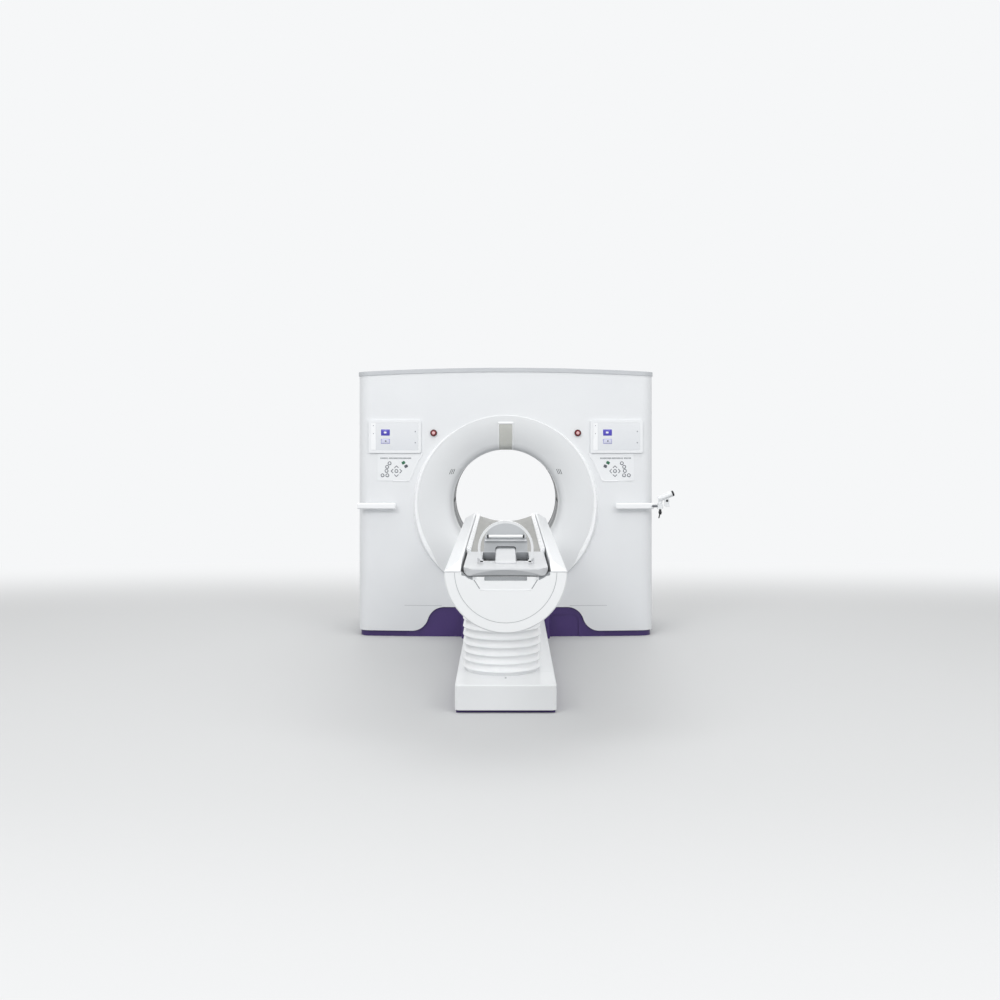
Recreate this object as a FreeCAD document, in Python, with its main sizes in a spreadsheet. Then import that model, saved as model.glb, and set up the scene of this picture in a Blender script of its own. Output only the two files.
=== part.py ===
"""CT scanner with its patient table, as a parametric document in millimetres.

+Z is up and +Y runs from the table into the gantry. The origin is on the floor, straight
below the isocentre, which is the point on the bore's axis where the beam plane crosses it.
"""
import FreeCAD, Part
import os
import re
from math import asin, atan2, cos, degrees, pi, radians, sin, sqrt

import Sketcher

V = FreeCAD.Vector
X_AXIS, Y_AXIS, Z_AXIS = V(1, 0, 0), V(0, 1, 0), V(0, 0, 1)

# name, value: every size that can be set by itself
SIZES = (
    # gantry envelope
    ("iso_height", 1000),          # floor to the bore's axis
    ("front_depth", 540),          # beam plane to the front face
    ("rear_depth", 500),           # beam plane to the rear face
    ("half_width", 1109),
    ("crown_clearance", 200),      # rotor drum to the middle of the crown
    ("crown_drop", 30),            # the crown falls this much towards the sides
    ("front_bulge", 45),           # the front face stands this much proud in the middle
    ("corner_radius", 95),
    ("rear_corner_radius", 70),
    ("cover_wall", 6),
    ("trim_thickness", 30),
    ("trim_overhang", 6),
    ("fit_gap", 0.3),              # between pieces that move past each other
    # skirt of the front cover
    ("skirt_gap", 43),
    ("arch_height", 223),
    ("arch_half_top", 461),
    ("arch_half_foot", 704),
    # S-shaped side joint, measured back from the front face
    ("joint_low", 240),
    ("joint_mid", 143),
    ("joint_high", 192),
    ("channel_low", 105),
    ("channel_mid", 43),
    ("channel_high", 104),
    ("channel_depth", 26),
    ("channel_wall", 4),
    ("band_width", 68),
    ("band_depth", 2.5),
    # bore
    ("bore_radius", 400),
    ("rim_radius", 656),           # funnel's outer edge
    ("lip_radius", 680),           # ring round the funnel, set lower than the bore
    ("lip_shift", 20),
    ("lip_proud", 8),
    ("funnel_depth", 120),
    ("throat_radius", 90),         # the tight turn from the funnel into the throat
    ("throat_length", 110),        # straight stretch behind the funnel
    ("front_liner_length", 172),
    ("scan_window_length", 270),
    ("rear_liner_length", 72),
    ("seal_width", 6),
    ("liner_wall", 5),
    ("rear_rim_radius", 560),
    ("chin_half_angle", 42),
    ("chin_inner_radius", 500),
    ("panel_gap", 1.2),
    ("strip_width", 95),
    ("strip_reach", 592),
    ("strip_proud", 3),
    ("strip_sunk", 2),
    ("strip_tail", 60),            # reach of the strip into the throat
    ("side_slot_front", 298),      # behind the front face
    ("side_slot_length", 295),
    ("side_slot_height", 24),
    # base
    ("base_inset", 14),
    ("base_height", 100),
    ("flange_height", 40),         # base casting's edge, just under the covers
    ("fascia_rise", 22),           # how far the fascia reaches up behind the arched skirt
    ("fascia_thickness", 14),
    ("dock_reach", 78),
    ("dock_wall", 46),
    ("dock_rise", 44),
    # controls
    ("display_width", 397),
    ("display_height", 247),
    ("display_centre", 832),
    ("display_rise", 500),         # above the bore's axis
    ("display_proud", 12),
    ("display_border", 20),
    ("estop_across", 540),
    ("estop_rise", 527),
    ("estop_radius", 20.5),
    ("estop_stem", 7),
    ("estop_travel", 4),
    ("handle_length", 285),
    ("handle_height", 45),
    ("handle_depth", 24),
    ("handle_drop", 20),           # below the bore's axis
    ("handle_gap", 32),
    ("handle_end", 1110),          # outer end of each handle, from the middle
    # rotor
    ("drum_radius", 815),
    ("drum_bore", 432),
    ("drum_wall", 18),
    ("drum_front", 150),
    ("drum_back", 120),
    ("bearing_radius", 610),
    ("bearing_thickness", 40),
    ("bearing_width", 60),
    ("bearing_gap", 0.08),
    ("frame_thickness", 50),
    ("frame_radius", 760),
    ("focus_height", 590),         # tube focus above the bore's axis
    ("detector_clearance", 4),     # outside the drum's bore
    ("detector_thickness", 90),
    ("detector_width", 190),
    ("detector_half_angle", 26),
    ("module_clearance", 38),      # drum's bore to the boxes on the drum
    # table
    ("base_half_width", 283.5),
    ("base_reach", 2459),          # foot end of the base, in front of the front face
    ("base_side_height", 105),
    ("base_top", 158),
    ("base_wrap_gap", 17),
    ("foot_cover_length", 370),
    ("middle_cover_length", 1375),
    ("table_wall", 6),
    ("bellows_half_width", 230),
    ("bellows_start", 228),        # from the base's foot end
    ("bellows_length", 1359),
    ("bellows_shift", -22),
    ("bellows_top", 624),
    ("bellows_fold", 22),
    ("bellows_folds", 10),
    ("bellows_skin", 2),
    ("flange_thickness", 18),
    ("lift_travel", 380),
    ("column_half_x", 150),
    ("column_half_y", 260),
    ("column_wall", 8),
    ("column_top", 240),
    ("column_floor", 12),
    ("belly_radius", 287),
    ("belly_level", 923),
    ("rail_seam", 862),
    ("rail_top", 956),
    ("rail_width", 76),
    ("top_length", 3187),
    ("top_reach", 3593),           # foot end of the table top, in front of the front face
    ("top_corner", 42),            # rounding of the top's gantry end
    ("foot_slope", 178),           # stretch over which the rails fall towards the foot end
    ("foot_drop", 31),
    ("cap_thickness", 24),
    ("cap_seam", 2),
    ("notch_depth", 43),           # below the belly's level
    ("notch_shelf", 24),
    ("cradle_gap", 6),
    ("cradle_thickness", 18),
    ("cradle_level", 900),
    ("cradle_edge", 952),
    ("cradle_lip", 22),
    ("cradle_short", 733),         # foot end of the top to the foot end of the cradle
    ("frame_top", 940),            # foot-end frame
    ("frame_depth", 36),
    ("frame_corner", 26),          # rounding along its lower edges
    ("anchor_half_x", 1063),       # floor anchors of the gantry
    ("anchor_front", -150),
    ("anchor_rear", 350),
    ("anchor_radius", 9),
    ("mat_thickness", 7),
    ("hoop_radius", 134),
    ("hoop_rise", 190),            # pivot to the top of the hoop
    ("hoop_pivot", 955),
    ("hoop_band", 12),
    ("hoop_depth", 26),
    ("hoop_setback", 200),
    ("lever_length", 486),
)


def start_document():
    """Open the document and fill its sheet with the sizes."""
    doc = FreeCAD.newDocument("ct_scanner")
    sheet = doc.addObject("Spreadsheet::Sheet", "sizes")
    for row, (name, value) in enumerate(SIZES, 1):
        sheet.set("A%d" % row, name)
        sheet.set("B%d" % row, str(value))
        sheet.setAlias("B%d" % row, name)
    doc.recompute()
    return doc, sheet


DOC, SHEET = start_document()
NAMES = {name for name, value in SIZES}
NODES = []


def size(name):
    """A size, read back from the sheet."""
    return float(SHEET.get(name))


def bind(item, prop, text):
    """Tie a property to the sheet: each size's name in the text reads its cell."""
    words = re.sub(r"[a-z][a-z_]+", lambda word: "sizes." + word.group(0)
                   if word.group(0) in NAMES else word.group(0), text)
    item.setExpression(prop, words)


def place(item, corner):
    """Tie a piece's place to the sheet."""
    for axis, text in zip("xyz", corner):
        bind(item, "Placement.Base." + axis, text)


def box(label, corner, span):
    item = DOC.addObject("Part::Box", label)
    for prop, text in zip(("Length", "Width", "Height"), span):
        bind(item, prop, text)
    place(item, corner)
    return item


def rod(label, centre, radius, length, along="y"):
    """A cylinder whose near end is at centre and which runs along +X, +Y or +Z."""
    item = DOC.addObject("Part::Cylinder", label)
    turns = {"x": (Y_AXIS, 90), "y": (X_AXIS, -90), "z": (Z_AXIS, 0)}
    item.Placement = FreeCAD.Placement(V(), FreeCAD.Rotation(*turns[along]))
    bind(item, "Radius", radius)
    bind(item, "Height", length)
    place(item, centre)
    return item


def cut(label, base, *tools):
    tool = tools[0] if len(tools) == 1 else fuse(label + "_tools", *tools)
    item = DOC.addObject("Part::Cut", label)
    item.Base = base
    item.Tool = tool
    return item


def fuse(label, *shapes):
    item = DOC.addObject("Part::MultiFuse", label)
    item.Shapes = list(shapes)
    return item


def feature(label, shape):
    """A piece whose form comes from lofts or freely cut shells."""
    item = DOC.addObject("Part::Feature", label)
    item.Shape = shape
    return item


def turned_body(label, *points):
    """A PartDesign body turned about the bore's axis, every corner tied to the sheet.

    Each point is a pair of texts: the distance from the axis and the place along it.
    """
    body = DOC.addObject("PartDesign::Body", label)
    plane = [part for part in body.Origin.OriginFeatures if part.Role == "XY_Plane"][0]
    sketch = body.newObject("Sketcher::SketchObject", label + "_profile")
    sketch.AttachmentSupport = (plane, [""])
    sketch.MapMode = "FlatFace"
    polygon(sketch, points)
    turn = body.newObject("PartDesign::Revolution", label + "_turn")
    turn.Profile = sketch
    turn.ReferenceAxis = (sketch, ["V_Axis"])
    turn.Angle = 360
    bind(body, "Placement.Base.z", "iso_height")
    return body


def ring_body(label, inner, outer, start, end):
    return turned_body(label, (inner, start), (outer, start), (outer, end), (inner, end))


def polygon(sketch, points):
    """Draw the closed outline and give every corner its two bound distances."""
    values = [(evaluate(a), evaluate(b)) for a, b in points]
    count = len(points)
    for index in range(count):
        start = V(*values[index], 0)
        end = V(*values[(index + 1) % count], 0)
        sketch.addGeometry(Part.LineSegment(start, end), False)
    for index in range(count):
        sketch.addConstraint(Sketcher.Constraint("Coincident", index, 2, (index + 1) % count, 1))
    for index, pair in enumerate(points):
        for kind, value, text in zip(("DistanceX", "DistanceY"), values[index], pair):
            number = sketch.addConstraint(Sketcher.Constraint(kind, -1, 1, index, 1, value))
            bind(sketch, "Constraints[%d]" % number, text)


def evaluate(text):
    """The number that an expression of sizes gives."""
    names = {name: size(name) for name in re.findall(r"[a-z][a-z_]+", text) if name in NAMES}
    total = re.sub(r"[a-z][a-z_]+", lambda word: repr(names.get(word.group(0), 0.0)), text)
    return float(FreeCAD.Units.Quantity(total).Value)


# ---------------------------------------------------------------- gantry outline

FRONT = -size("front_depth")
REAR = size("rear_depth")
ISO = size("iso_height")
TOP = ISO + size("drum_radius") + size("crown_clearance")
WALL = size("cover_wall")
WIDE = size("half_width")
FAR = 2 * WIDE                     # well outside the gantry


def bulge_radius():
    """Radius in plan of the gently bulged front."""
    chord = WIDE - size("corner_radius")
    bulge = size("front_bulge")
    return (chord ** 2 + bulge ** 2) / (2 * bulge)


FRONT_RADIUS = bulge_radius()


def front_at(x):
    """Y of the bulged front face at a distance from the middle."""
    return FRONT + FRONT_RADIUS - sqrt(FRONT_RADIUS ** 2 - x ** 2)


def envelope(inset=0.0, low=0.0, high=None):
    """The closed gantry volume between two heights, moved inwards by inset."""
    high = TOP + 100 if high is None else high
    radius, side = FRONT_RADIUS - inset, WIDE - inset
    face, rear = FRONT + inset, REAR - inset
    shoulder = FRONT + FRONT_RADIUS - sqrt(radius ** 2 - side ** 2)
    edges = [arc((-side, shoulder, low), (0, face, low), (side, shoulder, low))]
    edges += line((side, shoulder, low), (side, rear, low), (-side, rear, low), (-side, shoulder, low))
    block = extruded(edges, V(), V(0, 0, high - low))
    for name, side_of in (("corner_radius", -1), ("rear_corner_radius", 1)):
        corners = [edge for edge in block.Edges if edge.CenterOfMass.y * side_of > 0
                   and abs(abs(edge.CenterOfMass.x) - side) < 0.1
                   and edge.BoundBox.ZLength > 1 and edge.BoundBox.YLength < 0.1]
        block = block.makeFillet(max(size(name) - inset, 5), corners)
    return block


def extruded(edges, start, along):
    """A prism: the closed outline moved to start and swept along a vector."""
    face = Part.Face(Part.Wire(edges))
    face.translate(start)
    return face.extrude(along)


def line(*points):
    """Straight edges through the points; one of two numbers lies in the XY plane."""
    return Part.makePolygon([V(*point) for point in points]).Edges


def arc(first, middle, last):
    return Part.Arc(V(*first), V(*middle), V(*last)).toShape()


def jog(first, last, run, rise):
    """Two equal tangent arcs that step sideways between parallel lines.

    run is the index of the coordinate along the lines, rise that of the step across them.
    """
    length, step = last[run] - first[run], last[rise] - first[rise]
    radius = (length ** 2 + step ** 2) / (4 * abs(step))
    turn = asin(abs(length) / (2 * radius)) / 2
    reach = radius * sin(turn) * (1 if length > 0 else -1)
    drop = radius * (1 - cos(turn)) * (1 if step > 0 else -1)
    centre = [(a + b) / 2 for a, b in zip(first, last)]
    near, far = list(first), list(last)
    near[run] += reach
    near[rise] += drop
    far[run] -= reach
    far[rise] -= drop
    return [arc(first, near, centre), arc(centre, far, last)]


def crown_line(drop, wide, y=0.0):
    """The three points of the crowned top, lowered by drop."""
    middle = TOP - drop
    fall = size("crown_drop") * (wide / WIDE) ** 2
    return (-wide, y, middle - fall), (0, y, middle), (wide, y, middle - fall)


def under_crown(low, drop):
    """Everything between a height and the crown, lowered by drop."""
    wide = WIDE + 60
    left, middle, right = crown_line(drop, wide, FRONT - 100)
    edges = line(left, (-wide, FRONT - 100, low), (wide, FRONT - 100, low), right)
    edges.append(arc(right, middle, left))
    return extruded(edges, V(), V(0, REAR - FRONT + 200, 0))


def joint_y(shift):
    """Y of the side joint at its low, middle and high stretch."""
    offsets = {"front": (0, 0, 0), "rear": ("channel_low", "channel_mid", "channel_high")}
    low, mid, high = (FRONT + size(name) for name in ("joint_low", "joint_mid", "joint_high"))
    if shift == "rear":
        low, mid, high = (y + size(name) for y, name in zip((low, mid, high), offsets["rear"]))
    return low, mid, high


JOINT_LEVELS = {"front": (300, 650, 1500, 1850), "rear": (250, 720, 1400, 1800)}


def joint_edges(side, shift, x):
    """The S-shaped joint line from below the floor to above the crown."""
    low, mid, high = (y + shift for y in joint_y(side))
    step = [ISO * level / 1000.0 for level in JOINT_LEVELS[side]]
    points = [(x, low, -50), (x, low, step[0]), (x, mid, step[1]), (x, mid, step[2]),
              (x, high, step[3]), (x, high, TOP + 150)]
    edges = line(points[0], points[1]) + jog(points[1], points[2], 2, 1)
    edges += line(points[2], points[3]) + jog(points[3], points[4], 2, 1)
    edges += line(points[4], points[5])
    return edges, points


def ahead_of_joint(side, shift=0.0):
    """Everything in front of the S-shaped joint line."""
    x = -WIDE - 200
    edges, points = joint_edges(side, shift, x)
    near = FRONT - 200
    edges += line(points[-1], (x, near, TOP + 150), (x, near, -50), points[0])
    return extruded(edges, V(), V(-2 * x, 0, 0))


def behind_joint(side, shift=0.0):
    """Everything behind the S-shaped joint line."""
    x = -WIDE - 200
    edges, points = joint_edges(side, shift, x)
    far = REAR + 200
    edges += line(points[-1], (x, far, TOP + 150), (x, far, -50), points[0])
    return extruded(edges, V(), V(-2 * x, 0, 0))


def cylinder_y(radius, start, end, x=0.0, z=ISO):
    return Part.makeCylinder(radius, end - start, V(x, start, z), Y_AXIS)


def turned(edges, level=ISO):
    """A solid of revolution about a level axis along Y; the profile lies at x >= 0."""
    face = Part.Face(Part.Wire(edges))
    face.translate(V(0, 0, level))
    return face.revolve(V(0, 0, level), Y_AXIS, 360)


def plan_block(x_low, x_high, y_low, y_high, z_low, z_high):
    return Part.makeBox(x_high - x_low, y_high - y_low, z_high - z_low, V(x_low, y_low, z_low))


OUTER = envelope(0.0, -20)
INNER = envelope(WALL, -30, TOP + 110)
SHELL = OUTER.cut(INNER)
TRIM_UNDER = size("trim_thickness")


# ---------------------------------------------------------------- gantry covers

def skirt_region():
    """Front view of the front cover: arched skirt below, crowned top."""
    wide = WIDE + 60
    low, high = size("skirt_gap"), size("arch_height")
    foot, top = size("arch_half_foot"), size("arch_half_top")
    y = FRONT - 100
    left, middle, right = crown_line(TRIM_UNDER, wide, y)
    edges = line(left, (-wide, y, low), (-foot, y, low))
    edges += jog((-foot, y, low), (-top, y, high), 0, 2)
    edges += line((-top, y, high), (top, y, high))
    edges += jog((top, y, high), (foot, y, low), 0, 2)
    edges += line((foot, y, low), (wide, y, low), right)
    edges.append(arc(right, middle, left))
    return extruded(edges, V(), V(0, REAR - FRONT, 0))


def front_cover():
    opening = cylinder_y(size("lip_radius") - 8, FRONT - 100, FRONT + 200, z=ISO - size("lip_shift"))
    shape = SHELL.common(ahead_of_joint("front")).common(skirt_region())
    across, radius = size("estop_across"), size("estop_stem") + 0.5
    level = ISO + size("estop_rise")
    holes = [cylinder_y(radius, FRONT - 50, FRONT + 100, x, level) for x in (-across, across)]
    return shape.cut([opening] + holes)


def side_covers():
    """One moulding each side, with the recessed S-shaped band along its front edge."""
    band = envelope(-5, -20).cut(envelope(size("band_depth"), -30, TOP + 110))
    band = band.common(ahead_of_joint("rear", size("band_width")))
    shell = SHELL.common(behind_joint("rear")).common(under_crown(size("skirt_gap"), TRIM_UNDER))
    shell = shell.cut(band)
    rear_line = REAR - size("rear_corner_radius") - 60
    middle = plan_block(-WIDE + 300, WIDE - 300, FRONT, REAR + 50, -50, TOP + 50)
    shell = shell.cut(middle)
    shell = shell.cut(plan_block(-FAR, FAR, rear_line, REAR + 50, -50, TOP + 50))
    left = shell.common(plan_block(-FAR, 0, FRONT, REAR, -50, TOP + 50))
    right = shell.common(plan_block(0, FAR, FRONT, REAR, -50, TOP + 50))
    return left, right


def rear_cover():
    rear_line = REAR - size("rear_corner_radius") - 60 + 3
    shell = SHELL.common(plan_block(-FAR, FAR, rear_line, REAR + 50, -50, TOP + 50))
    shell = shell.common(under_crown(size("skirt_gap"), TRIM_UNDER))
    return shell.cut(cylinder_y(size("rear_rim_radius") - 8, 0, REAR + 50))


def side_channels():
    """The recessed grey strip behind the S-shaped joint, a U in section."""
    depth, wall = size("channel_depth"), size("channel_wall")
    strip = ahead_of_joint("rear", wall).cut(ahead_of_joint("front", -wall))
    block = envelope(WALL, -20).cut(envelope(WALL + depth, -30, TOP + 110)).common(strip)
    slot = envelope(-5, -20).cut(envelope(WALL + depth - wall, -30, TOP + 110))
    slot = slot.common(ahead_of_joint("rear", 0).cut(ahead_of_joint("front", 0)))
    shape = block.cut(slot).common(under_crown(size("flange_height"), TRIM_UNDER))
    left = shape.common(plan_block(-FAR, -WIDE / 2, FRONT, REAR, -50, TOP + 50))
    right = shape.common(plan_block(WIDE / 2, FAR, FRONT, REAR, -50, TOP + 50))
    return left, right


def top_trim():
    over = size("trim_overhang")
    slab = envelope(-over, TOP - 200, TOP + 100)
    return slab.common(under_crown(0, 0)).cut(under_crown(-100, TRIM_UNDER))


# ---------------------------------------------------------------- funnel and bore

BORE = size("bore_radius")
THROAT = FRONT + size("funnel_depth")
SEAM = THROAT + size("throat_length")
LINER_END = SEAM + size("front_liner_length")
WINDOW_END = LINER_END + size("scan_window_length")
BORE_END = WINDOW_END + size("rear_liner_length")
LINER = size("liner_wall")


def bell_points(offset):
    """Five points of the funnel's profile: a slow arc from the rim, then a tight one.

    Each is a distance from the axis and a place along it. Both arcs are centred behind the
    skin, so an offset away from the air makes them smaller.
    """
    rim, face = size("rim_radius"), FRONT - size("lip_proud")
    run, deep, tight = rim - BORE, THROAT - face, size("throat_radius")
    slow = ((run - tight) ** 2 + deep ** 2 - tight ** 2) / (2 * (deep - tight))
    turn = atan2(run - tight, slow - deep)

    def on_slow(angle):
        return rim - (slow - offset) * sin(angle), face + slow - (slow - offset) * cos(angle)

    def on_tight(angle):
        return BORE + tight - (tight - offset) * sin(angle), THROAT - (tight - offset) * cos(angle)
    middle = (turn + pi / 2) / 2
    return [on_slow(0), on_slow(turn / 2), on_slow(turn), on_tight(middle), on_tight(pi / 2)]


def two_arcs(points):
    """The smooth line through five points that a slow and a tight arc share."""
    return [arc(*points[:3]), arc(*points[2:])]


def inside_bell(edges, start, end, far, near):
    """Everything inside a profile, between two places along the axis."""
    closing = line(end, (end[0], far), (0, far), (0, near), (start[0], near), start)
    return turned(edges + closing)


def funnel_air():
    """The funnel's open volume, from ahead of the rim to behind the seam with the liner."""
    points = bell_points(0)
    return inside_bell(two_arcs(points), points[0], points[-1], SEAM + 50, FRONT - size("lip_proud") - 60)


def funnel_wall():
    """The funnel's volume grown by the wall, with a plain faceted back; the air is cut out of it."""
    points = bell_points(WALL)
    return inside_bell(line(*points), points[0], points[-1], SEAM, FRONT - size("lip_proud"))


def funnel():
    """The whole funnel with its lip, before the lower panel is parted off."""
    lip_z = ISO - size("lip_shift")
    face = FRONT - size("lip_proud")
    radius = size("lip_radius")
    back = front_at(radius) + 12
    ring = cylinder_y(radius, face, back, z=lip_z)
    edge = [item for item in ring.Edges if abs(item.BoundBox.YMax - face) < 0.01
            and item.Length > 6 * radius]
    ring = ring.makeChamfer(size("lip_proud") * 0.6, edge)
    hollow = cylinder_y(radius - 10, face + 6, back + 5, z=lip_z)
    ring = ring.cut(hollow).cut(OUTER)
    shape = ring.fuse(funnel_wall()).cut(funnel_air())
    pocket = strip_prism(-20, size("strip_sunk") + 0.2, 0.3)
    return shape.cut(pocket).removeSplitter()


def chin_region(gap):
    """The sector at the bottom of the funnel that comes off as its own panel."""
    half = size("chin_half_angle")
    inner = size("chin_inner_radius") + gap
    lip = size("lip_radius") + 50
    side_gap = degrees(gap / inner)
    start, end = -90 - half + side_gap, -90 + half - side_gap

    def at(radius, angle):
        return (radius * cos(radians(angle)), 0, radius * sin(radians(angle)))
    edges = line(at(inner, end), at(lip * 1.2, end)) + line(at(lip * 1.2, start), at(inner, start))
    edges.insert(1, arc(at(lip * 1.2, end), at(lip * 1.2, -90), at(lip * 1.2, start)))
    edges.append(arc(at(inner, start), at(inner, -90), at(inner, end)))
    return extruded(edges, V(0, FRONT - 100, ISO), V(0, SEAM - FRONT + 150, 0))


def strip_prism(high, low, gap):
    """The window down the top of the funnel: the bell's profile, swept across the strip.

    high and low are the offsets of its two faces from the funnel's skin, gap is the room
    round its rim.
    """
    half, tail = size("strip_width") / 2 + gap, THROAT + size("strip_tail") + gap
    near, far = [[(-half, y, ISO + distance) for distance, y in bell_points(offset)]
                 for offset in (high, low)]
    ends = [(-half, tail, side[-1][2]) for side in (near, far)]
    edges = two_arcs(near) + line(near[-1], *ends, far[-1]) + two_arcs(far[::-1]) + line(far[0], near[0])
    prism = extruded(edges, V(), V(2 * half, 0, 0))
    reach = ISO + size("strip_reach") + gap
    return prism.common(plan_block(-half, half, FRONT - 100, tail, ISO, reach))


def ring(inner, outer, start, end):
    return cylinder_y(outer, start, end).cut(cylinder_y(inner, start - 5, end + 5))


def rear_funnel():
    """A plain cone from the bore's rear edge to the rear face, with a rolled rim."""
    rim, wall = size("rear_rim_radius"), WALL
    edges = line((BORE, BORE_END, 0), (BORE + wall, BORE_END, 0), (rim - 8.5, REAR - wall, 0),
                 (rim - 8.5, REAR, 0), (rim + 6, REAR, 0), (rim + 6, REAR + 5, 0),
                 (rim - 10, REAR + 5, 0), (BORE, BORE_END, 0))
    return turned(edges)


def side_slots():
    """The two dark slots at three and nine o'clock that cross the front seal."""
    start = FRONT + size("side_slot_front")
    half = size("side_slot_height") / 2
    skin = ring(BORE - 1.5, BORE - 0.3, start, start + size("side_slot_length"))
    return skin.common(plan_block(-BORE - 5, BORE + 5, FRONT, REAR, ISO - half, ISO + half))


def bore_seals():
    seal = size("seal_width") / 2
    return [ring(BORE - 1.2, BORE - 0.3, place - seal, place + seal) for place in (LINER_END, WINDOW_END)]


def liners():
    """The bore's three tubes, end to end between the two funnels."""
    outer = "bore_radius+liner_wall"
    places = ["-front_depth+funnel_depth+throat_length"]
    for name in ("front_liner_length", "scan_window_length", "rear_liner_length"):
        places.append(places[-1] + "+" + name)
    labels = ("front_bore_liner", "scan_window", "rear_bore_liner")
    return [ring_body(label, "bore_radius", outer, start, end)
            for label, start, end in zip(labels, places, places[1:])]


# ---------------------------------------------------------------- base and dock

def fascia_region():
    half = size("arch_half_foot") + 40
    top = size("arch_height") + size("fascia_rise")
    return plan_block(-half, half, FRONT - 50, FRONT + 120, 0, top)


def base_casting():
    """Heavy base: a thin edge under the covers and a higher block further in."""
    inset = size("base_inset")
    edge = envelope(inset, 0, size("flange_height"))
    block = envelope(inset + 46, 0, size("base_height"))
    hollow = envelope(inset + size("fascia_thickness"), -20, TOP).common(fascia_region())
    shape = edge.fuse(block).cut(fascia_region().cut(hollow))
    radius, high = size("anchor_radius"), size("flange_height") + 10
    for x in (-size("anchor_half_x"), size("anchor_half_x")):
        for y in (size("anchor_front"), size("anchor_rear")):
            shape = shape.cut(Part.makeCylinder(radius, high, V(x, y, -5)))
    return shape.removeSplitter()


def fascia():
    """Moulded front of the base, seen through the arched skirt."""
    inset = size("base_inset")
    skin = envelope(inset, -20, TOP).cut(envelope(inset + size("fascia_thickness"), -30, TOP + 10))
    shape = skin.common(fascia_region())
    right = size("base_half_width") + size("dock_wall") + 20
    recess = envelope(0, -20, TOP).cut(envelope(inset + size("fascia_thickness") / 2, -30, TOP + 10))
    window = line((right, 0, -5), (right, 0, 165), (right + 165, 0, 165), (right + 198, 0, 130),
                  (right + 198, 0, -5), (right, 0, -5))
    return shape.cut(recess.common(extruded(window, V(0, FRONT - 60, 0), V(0, 200, 0))))


def dock_bridge():
    """Arched moulding over the table's end, rounded at its front corners."""
    wide = size("base_half_width") + size("dock_wall")
    shoulder = size("base_top") + 14
    crown = shoulder + size("dock_rise") - 12
    front = FRONT - size("dock_reach")
    edges = line((wide, 0, shoulder), (wide, 0, 0), (-wide, 0, 0), (-wide, 0, shoulder))
    edges.append(arc((-wide, 0, shoulder), (0, 0, crown), (wide, 0, shoulder)))
    block = extruded(edges, V(0, front, 0), V(0, 130, 0))
    upright = [edge for edge in block.Edges if abs(edge.BoundBox.XLength) < 0.1
               and edge.BoundBox.ZLength > 50 and abs(edge.BoundBox.YMin - front) < 0.1]
    block = block.makeFillet(28, upright)
    rim = [edge for edge in block.Edges if edge.BoundBox.XLength > wide
           and abs(edge.BoundBox.YMax - front) < 0.5 and edge.BoundBox.ZMin > 50]
    block = block.makeFillet(12, rim)
    inner = size("base_half_width") + 1
    slot = plan_block(-inner, inner, front - 10, FRONT + 100, -5, size("base_top") + 1)
    return block.cut(slot).cut(envelope(size("base_inset"), -20, TOP))


# ---------------------------------------------------------------- controls

def slope_at(x):
    """The front face's turn about the vertical at a distance from the middle, in degrees."""
    return degrees(asin(x / FRONT_RADIUS))


def on_front(shape, x, level, proud):
    """Turn a piece drawn about its own origin to face the bulged front, proud of it."""
    shape.rotate(V(), Z_AXIS, slope_at(x))
    shape.translate(V(x, front_at(x) - proud, level))
    return shape


def tile(width, height, depth, corner):
    """A slab with rounded corners whose face lies in the XZ plane, its back at y = depth."""
    slab = Part.makeBox(width, depth, height, V(-width / 2, 0, -height / 2))
    edges = [edge for edge in slab.Edges if abs(edge.BoundBox.YLength - depth) < 0.01
             and edge.BoundBox.XLength < 0.01 and edge.BoundBox.ZLength < 0.01]
    return slab.makeFillet(corner, edges)


def display(side):
    """Raised pad and the screen let into it."""
    x = side * size("display_centre")
    level, proud = ISO + size("display_rise"), size("display_proud")
    border, pocket = size("display_border"), 3.0
    pad = tile(size("display_width"), size("display_height"), 50, 14)
    pad = on_front(pad, x, level, proud).cut(OUTER)
    wide, high = (size(name) - 2 * border for name in ("display_width", "display_height"))
    slot = on_front(tile(wide, high, pocket, 6), x, level, proud)
    glass = on_front(tile(wide - 0.4, high - 0.4, pocket - 0.5, 6), x, level, proud - 0.5)
    return pad.cut(slot), glass


# corners of the keypad, from the display's middle and the bore's axis
KEYPAD = ((131, 370), (-201, 370), (-114, 167), (131, 167))


def keypad(side):
    """Membrane panel whose inner edge follows the funnel."""
    points = [(side * x, 0, z) for x, z in KEYPAD]
    panel = extruded(line(*points, points[0]), V(), V(0, 30, 0))
    corners = [edge for edge in panel.Edges if edge.BoundBox.YLength > 29]
    panel = panel.makeFillet(12, corners)
    return on_front(panel, side * size("display_centre"), ISO, 2.5).cut(OUTER)


def estop(side):
    """Collar on the cover and the mushroom button on its stem."""
    x, level = side * size("estop_across"), ISO + size("estop_rise")
    face = front_at(x)
    radius, stem = size("estop_radius"), size("estop_stem")
    collar = cylinder_y(radius + 5, face - 5, face + 20, x, level)
    collar = collar.cut(OUTER).cut(cylinder_y(stem + 0.06, face - 30, face + 40, x, level))
    back = face - 5 - size("estop_travel") - 0.6
    head = cylinder_y(radius, back - 13, back, x, level)
    rim = [edge for edge in head.Edges if abs(edge.BoundBox.YMax - (back - 13)) < 0.01]
    head = head.makeChamfer(4, rim)
    button = head.fuse(cylinder_y(stem, back - 2, face + 24, x, level))
    return collar, button.removeSplitter()


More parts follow.
